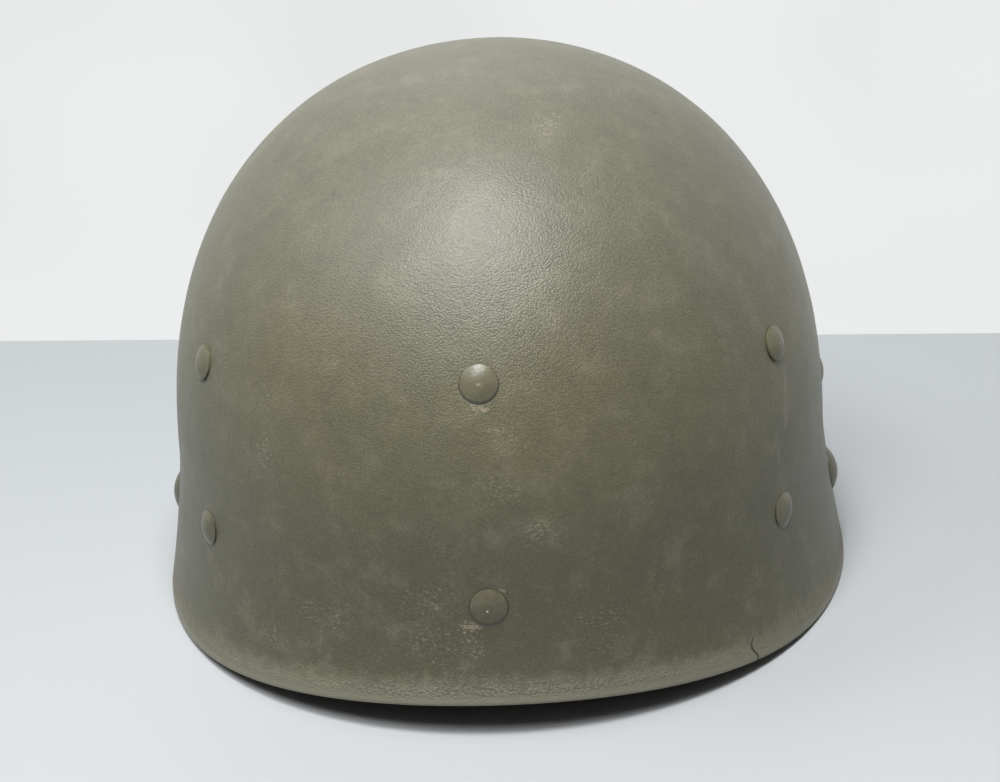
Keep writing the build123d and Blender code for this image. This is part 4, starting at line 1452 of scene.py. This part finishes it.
strapForm = {
    "width": 0.021,
    "lift": 0.0007,
    "liftOverSeat": 0.002,
    "leaveOverSeat": 0.010,
    "bendShare": 0.6,
    "laceHeight": 0.143,
    "laceRing": 0.027,
    "hemRadius": 0.0024,
    "hemTurn": 5.2,
    "wallSteps": 24,
    "freeSteps": 40,
    "hemSteps": 16,
    "across": 12,
    "wave": 0.0006,
    "waveTurns": 7,
    "seamRowsBack": (5, 7),
}


def crownStrapRows(form, band, strap, turn, seatHeight):
    leave = seatHeight + strap["leaveOverSeat"]
    asides = [strap["width"] * (step / strap["across"] - 0.5) for step in range(strap["across"] + 1)]
    rows = []
    for step in range(strap["wallSteps"] + 1):    # up the wall
        height = band["bottom"] + (leave - band["bottom"]) * step / strap["wallSteps"]
        lift = strap["lift"] * smoothStep(seatHeight + strap["liftOverSeat"], leave, height)
        inset = form["wall"] + band["web"] / 2 + lift
        rows.append([wallPoint(form, height, inset, turn, aside) for aside in asides])
    out = Vector((math.sin(turn), math.cos(turn), 0))
    across = Vector((-out.y, out.x, 0))
    middle = strap["across"] // 2
    start = rows[-1][middle]
    startWay = (start - rows[-2][middle]).normalized()
    wallAcross = (rows[-1][-1] - rows[-1][0]).normalized()
    rest = [point - start - wallAcross * aside for point, aside in zip(rows[-1], asides)]
    top = Vector((0, 0, strap["laceHeight"]))
    end = out * strap["laceRing"] + top + Vector((0, 0, strap["hemRadius"]))
    pull = (end - start).length * strap["bendShare"]
    for step in range(1, strap["freeSteps"] + 1):    # free, on one smooth curve to the lace
        share = step / strap["freeSteps"]
        place = start * (2 * share**3 - 3 * share**2 + 1) + end * (3 * share**2 - 2 * share**3)
        place += startWay * pull * (share**3 - 2 * share**2 + share) - out * pull * (share**3 - share**2)
        sag = 1 + math.sin(strap["waveTurns"] * turn)
        place.z -= strap["wave"] * math.sin(math.pi * share) ** 2 * sag
        flat = (wallAcross * (1 - share) + across * share).normalized()
        rows.append([place + flat * aside + left * (1 - share) ** 2 for aside, left in zip(asides, rest)])
    for step in range(1, strap["hemSteps"] + 1):    # round the lace
        bend = strap["hemTurn"] * step / strap["hemSteps"]
        place = out * strap["laceRing"] + top
        place += (Vector((0, 0, math.cos(bend))) - out * math.sin(bend)) * strap["hemRadius"]
        rows.append([place + across * aside for aside in asides])
    return rows


hemStitches = []
hemStart = strapForm["wallSteps"] + strapForm["freeSteps"]
for name, turn in strapTurns.items():
    rows = crownStrapRows(shellForm, bandForm, strapForm, turn, suspensionSeats[name].z)
    layWebbing("crownWebbing_" + name, "crown_strap_" + name, rows)
    for back in strapForm["seamRowsBack"]:
        row, nextRow = rows[hemStart - back:hemStart - back + 2]
        over = (row[-2] - row[1]).normalized().cross(nextRow[0] - row[0]).normalized()
        over = over if over.z > 0 else -over
        for face in (1, -1):
            lift = over * face * bandForm["web"] / 2
            hemStitches += seamBetween(row[1] + lift, row[-2] + lift, over * face, stitchForm)
print("crown straps laid")


# Crown lace, threaded through the six hems and knotted

laceForm = {
    "radius": 0.0015,
    "cornerBack": 0.0042,
    "cornerSteps": 6,
    "steps": 120,
    "sides": 14,
    "knotCorner": 1,
    "knotRings": ((0.0, 0.5, 0.3), (1.2, 0.9, 1.1), (0.4, 1.7, 2.2)),
    "knotRadius": 0.00155,
    "knotThread": 0.00120,
    "knotSegments": (24, 12),
    "knotWay": (0.012, 0.008),
    "tailShare": 0.96,
    "tailReach": 0.016,
    "tailDrop": 0.007,
    "tailTurn": 0.42,
    "tailSteps": 26,
}


def addKnotRing(lace, knot, turned):
    deselectAll()
    bpy.ops.mesh.primitive_torus_add(
        major_radius=lace["knotRadius"],
        minor_radius=lace["knotThread"],
        major_segments=lace["knotSegments"][0],
        minor_segments=lace["knotSegments"][1],
        location=knot,
        rotation=turned,
    )
    ring = bpy.context.object
    ring.data.uv_layers.active.name = "strapWay"
    for item in ring.data.uv_layers.active.data:
        item.uv = (item.uv.x * lace["knotWay"][0], item.uv.y * lace["knotWay"][1])
    bpy.ops.object.transform_apply(location=True, rotation=True, scale=True)
    return ring


def layLace(lace, strap, turns):
    angles = [turn % (2 * math.pi) for turn in turns.values()]
    top = Vector((0, 0, strap["laceHeight"]))
    corners = []
    for first, second in zip(angles, angles[1:] + [angles[0] + 2 * math.pi]):
        middle = (first + second) / 2
        reach = strap["laceRing"] / math.cos((second - first) / 2)
        corners.append(top + Vector((math.sin(middle), math.cos(middle), 0)) * reach)
    points = []
    for index, corner in enumerate(corners):
        before = corner + (corners[index - 1] - corner).normalized() * lace["cornerBack"]
        after = corner + (corners[(index + 1) % len(corners)] - corner).normalized() * lace["cornerBack"]
        steps = lace["cornerSteps"]
        points += [onCurve(before, corner, after, step / steps) for step in range(steps + 1)]
    points.append(points[0])
    loop = tubeRows(evenly(points, lace["steps"]), lace["radius"], lace["sides"], True)
    pieces = [gridFromRows("crownLace", loop)]
    knot = corners[lace["knotCorner"]]
    pieces += [addKnotRing(lace, knot, turned) for turned in lace["knotRings"]]
    inward = Vector((-knot.x, -knot.y, 0)).normalized()
    for turn in (-lace["tailTurn"], lace["tailTurn"]):
        way = Matrix.Rotation(turn, 3, "Z") @ inward
        reach = knot + way * lace["tailReach"]
        drop = reach - Vector((0, 0, lace["tailDrop"]))
        steps = lace["tailSteps"]
        tail = [onCurve(knot, reach, drop, step / steps) for step in range(steps + 1)]
        tail = tubeRows(tail, lace["radius"] * lace["tailShare"], lace["sides"], False)
        pieces.append(gridFromRows("laceTail", tail))
    return joinPieces("crownLace", pieces)


finishPiece(layLace(laceForm, strapForm, strapTurns), "crown_lace", "helmet", laceBraid)
print("crown lace threaded")


# Headband, its overlapping end and the leather sweatband inside it

headbandForm = {
    "rearRadius": 0.080,
    "frontRadius": 0.076,
    "ovalSteps": (24, 40),
    "steps": 240,
    "rows": 10,
    "endLeft": 0.384,
    "endRight": 0.279,
    "endSteps": 40,
    "leather": 0.0016,
    "sweatOpening": 0.035,
    "sweatBulge": 0.0009,
    "sweatSway": (0.25, 0.55),
    "sweatEdge": 0.0005,
    "seamFromEdge": 0.0022,
    "seamBulge": 0.9,
}


def ovalPoints(form, low, high, inset):
    endSteps, sideSteps = form["ovalSteps"]
    quarters = []
    for way, reach, endRadius in ((1, high.y, form["rearRadius"]), (-1, -low.y, form["frontRadius"])):
        width, tip, radius = high.x - inset, reach - inset, endRadius - inset
        sideRadius = (width**2 + tip**2 - 2 * tip * radius) / (2 * (width - radius))
        turn = math.atan2(sideRadius - width, tip - radius)
        quarter = []
        for step in range(endSteps + 1):
            bend = turn * step / endSteps
            along = tip - radius + radius * math.cos(bend)
            quarter.append(Vector((radius * math.sin(bend), way * along, 0)))
        for step in range(1, sideSteps + 1):
            bend = (math.pi / 2 - turn) * (1 - step / sideSteps)
            across = width - sideRadius + sideRadius * math.cos(bend)
            quarter.append(Vector((across, way * sideRadius * math.sin(bend), 0)))
        quarters.append(quarter)
    rear, front = quarters
    half = rear + front[::-1][1:]
    other = [Vector((-point.x, point.y, 0)) for point in half[::-1][1:]]
    return half + other


def uprightRows(points, low, high, count):
    lifts = [Vector((0, 0, low + (high - low) * level / count)) for level in range(count + 1)]
    return [[point + lift for lift in lifts] for point in points]


def inwardAt(place, way):
    inward = Vector((-way.y, way.x, 0))
    return inward if inward.dot(place) < 0 else -inward


headLow, headHigh = (Vector(corner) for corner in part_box("headband"))
webHalf = bandForm["web"] / 2
ring = evenly(ovalPoints(headbandForm, headLow, headHigh, webHalf), headbandForm["steps"])
headbandRows = uprightRows(ring, headLow.z, headHigh.z, headbandForm["rows"])
layWebbing("headbandWebbing", "headband", headbandRows)


def headbandEndPoints(form, rear, radius):
    centre = Vector((0, rear - form["rearRadius"], 0))
    points = []
    for step in range(form["endSteps"] + 1):
        turn = form["endLeft"] - (form["endLeft"] + form["endRight"]) * step / form["endSteps"]
        points.append(centre + Vector((radius * math.sin(turn), radius * math.cos(turn), 0)))
    return points


endPoints = headbandEndPoints(headbandForm, headHigh.y, headbandForm["rearRadius"] + webHalf)
endRows = uprightRows(endPoints, headLow.z, headHigh.z, headbandForm["rows"])
layWebbing("headbandTail", "headband_end", endRows)


def sweatbandRows(form, low, high, points):
    kept = [point for point in points if not (point.y > 0 and abs(point.x) < form["sweatOpening"])]
    rows = []
    count = form["rows"]
    swing, swayTurn = form["sweatSway"]
    for index, point in enumerate(kept):
        before, after = kept[max(index - 1, 0)], kept[min(index + 1, len(kept) - 1)]
        inward = inwardAt(point, (after - before).normalized())
        sway = 1 - swing + swing * math.sin(index * swayTurn)
        row = []
        for level in range(count + 1):
            share = level / count
            bulge = form["sweatBulge"] * math.sin(math.pi * share) * sway
            row.append(point + inward * bulge + Vector((0, 0, low + (high - low) * share)))
        rows.append(row)
    return rows


def sweatbandSeam(form, low, high, line):
    places = []
    for height in (high - form["seamFromEdge"], low + form["seamFromEdge"]):
        share = (height - low) / (high - low)
        bulge = form["sweatBulge"] * math.sin(math.pi * share)
        for first, second in zip(line, line[1:]):
            along = (second - first).normalized()
            inward = inwardAt(first, along)
            place = (first + second) / 2 + inward * (form["leather"] / 2 + bulge * form["seamBulge"])
            places.append((place + Vector((0, 0, height)), along, inward))
    return places[::2]    # a stitch in every second place


sweatLow, sweatHigh = (Vector(corner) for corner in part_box("sweatband"))
inset = bandForm["web"] + headbandForm["leather"] / 2
ring = evenly(ovalPoints(headbandForm, headLow, headHigh, inset), headbandForm["steps"])[:-1]
leatherRows = sweatbandRows(headbandForm, sweatLow.z, sweatHigh.z, ring)
sweatPiece = stripFromRows(
    "sweatbandLeather",
    leatherRows,
    headbandForm["leather"],
    headbandForm["sweatEdge"],
    bevelSteps=3,
)
finishPiece(sweatPiece, "sweatband", "helmet", sweatLeather)
leatherLine = [row[0].xy.to_3d() for row in leatherRows]
bandSeam = sweatbandSeam(headbandForm, sweatLow.z, sweatHigh.z, leatherLine)
print("headband and sweatband laid")


# Side straps, from the side rivets across to the suspension band

sideStrapForm = {
    "width": 0.015,
    "bottom": 0.051,
    "leave": 0.0690,
    "meet": 0.0748,
    "top": 0.079,
    "steps": 40,
    "across": 8,
    "seamHeights": (0.0762, 0.0776),
    "seamMargin": 0.0015,
}


def sideStrapRows(form, band, strap, plan, side, bandPlace):
    rows = []
    turn = side * math.pi / 2
    for step in range(strap["steps"] + 1):
        height = strap["bottom"] + (strap["top"] - strap["bottom"]) * step / strap["steps"]
        share = smoothStep(strap["leave"], strap["meet"], height)
        row = []
        for index in range(strap["across"] + 1):
            y = plan["sideY"] + strap["width"] * (index / strap["across"] - 0.5)
            wall = wallPoint(form, height, form["wall"] + band["web"] / 2, turn, side * y)
            wall.x += (side * bandPlace - wall.x) * share
            row.append(wall)
        rows.append(row)
    return rows


for side, name in ((1, "side_strap_left"), (-1, "side_strap_right")):
    low, high = (Vector(corner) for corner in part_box(name))
    inner = min(abs(low.x), abs(high.x)) + webHalf
    rows = sideStrapRows(shellForm, bandForm, sideStrapForm, rivetPlan, side, inner)
    layWebbing("sideWebbing_" + name.split("_")[-1], name, rows)
    out = Vector((side, 0, 0))
    edge = Vector((0, sideStrapForm["width"] / 2 - sideStrapForm["seamMargin"], 0))
    for height in sideStrapForm["seamHeights"]:
        middle = Vector((side * (inner + webHalf), rivetPlan["sideY"], height))
        hemStitches += seamBetween(middle - edge, middle + edge, out, stitchForm)
print("side straps laid")


# Nape strap, an arc through the three press studs

napeForm = {"steps": 140, "rows": 8}


def napeRows(low, high, web, form):
    depth = high.y - low.y
    outer = (high.x**2 + depth**2) / (2 * depth)
    centre = high.y - outer
    radius = outer - web / 2
    start = math.atan2(low.y - centre, high.x)
    points = []
    for step in range(form["steps"] + 1):
        turn = start + (math.pi - 2 * start) * step / form["steps"]
        points.append(Vector((radius * math.cos(turn), centre + radius * math.sin(turn), 0)))
    return uprightRows(points, low.z, high.z, form["rows"])


napeLow, napeHigh = (Vector(corner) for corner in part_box("nape_strap"))
layWebbing("napeWebbing", "nape_strap", napeRows(napeLow, napeHigh, bandForm["web"], napeForm))
print("nape strap laid")


# Chin strap, two lengths of leather on edge, an arc round the two studs

chinForm = {
    "leather": 0.0018,
    "layerGap": 0.0001,
    "width": 0.014,
    "pastStud": 0.009,
    "longStart": 0.4538,
    "shortEnd": 1.0821,
    "endRounding": 0.0068,
    "endSteps": 8,
    "tipShare": 0.004,
    "rowStep": 0.0016,
    "across": 8,
    "edge": 0.00045,
    "keeperTurn": 0.5236,
    "keeperLength": 0.006,
    "keeperLeather": 0.0012,
    "keeperCorner": 0.0009,
    "keeperSteps": 6,
    "keeperEdge": 0.0003,
}


def chinFrame(record):
    joint = next(item for item in record["behaviour"]["joints"] if item["name"] == "chin_buckle_slide")
    upright = Vector(joint["axis"])
    across = Vector((1, 0, 0))
    return Vector(joint["pos_m"]), across, upright.cross(across), upright


chinMiddle, chinX, chinY, chinZ = chinFrame(frame["record"])


def chinPoint(radius, turn, lift):
    return chinMiddle + (chinX * math.cos(turn) + chinY * math.sin(turn)) * radius + chinZ * lift


def chinLeatherRows(chin, radius, start, end):
    length = (end - start) * radius
    rounding, steps = chin["endRounding"], chin["endSteps"]
    tip = [rounding * (1 - math.cos(math.pi / 2 * step / steps)) for step in range(steps + 1)]
    tip[0] = rounding * chin["tipShare"]
    plain = int((length - 2 * rounding) / chin["rowStep"])
    distances = tip + [rounding + (length - 2 * rounding) * step / plain for step in range(1, plain)]
    distances += [length - distance for distance in tip[::-1]]
    rows = []
    for distance in distances:
        fromEnd = min(distance, length - distance, rounding)
        half = chin["width"] / 2 - rounding + math.sqrt(max(rounding**2 - (rounding - fromEnd) ** 2, 0))
        turn = start + distance / radius
        count = chin["across"]
        rows.append([chinPoint(radius, turn, half * (2 * index / count - 1)) for index in range(count + 1)])
    return rows


shortHigh = Vector(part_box("chin_strap_short")[1])
shortRadius = shortHigh.x - chinForm["leather"] / 2
longRadius = shortRadius - chinForm["leather"] - chinForm["layerGap"]
shortStart = -chinForm["pastStud"] / shortRadius
longEnd = math.pi + chinForm["pastStud"] / longRadius
for name, node, radius, start, end in (
    ("chinStrapShort", "chin_strap_short", shortRadius, shortStart, chinForm["shortEnd"]),
    ("chinStrapLong", "chin_strap_long", longRadius, chinForm["longStart"], longEnd),
):
    rows = chinLeatherRows(chinForm, radius, start, end)
    piece = stripFromRows(name, rows, chinForm["leather"], chinForm["edge"], bevelSteps=3)
    finishPiece(piece, node, "chin_strap", chinLeather)


def keeperRows(chin, inner, outer):
    skin = chin["keeperLeather"]
    gap = chin["layerGap"] + skin / 2
    low, high, half = inner - gap, outer + gap, chin["width"] / 2 + gap
    corner, steps = chin["keeperCorner"], chin["keeperSteps"]
    outline = []
    for middleRadius, middleLift, start in (
        (high - corner, half - corner, 0),
        (low + corner, half - corner, 1),
        (low + corner, corner - half, 2),
        (high - corner, corner - half, 3),
    ):
        for step in range(steps + 1):
            bend = (start + step / steps) * math.pi / 2
            outline.append((middleRadius + corner * math.cos(bend), middleLift + corner * math.sin(bend)))
    outline.append(outline[0])
    span = chin["keeperLength"] / outer
    turns = [chin["keeperTurn"] + span * (step / steps - 0.5) for step in range(steps + 1)]
    return [[chinPoint(radius, turn, lift) for turn in turns] for radius, lift in outline]


chinHalf = chinForm["leather"] / 2
loopRows = keeperRows(chinForm, longRadius - chinHalf, shortRadius + chinHalf)
keeperPiece = stripFromRows("chinKeeper", loopRows, chinForm["keeperLeather"], chinForm["keeperEdge"])
finishPiece(keeperPiece, "chin_strap_keeper", "chin_strap", chinLeather)

for name, places in (("webbingStitches", hemStitches), ("sweatbandStitches", bandSeam)):
    seam = sewStitches(name, stitchForm, places)
    seam.data.uv_layers[0].name = "strapWay"
    finishPiece(seam, None, "helmet", laceBraid)
print("chin strap laid, seams sewn")
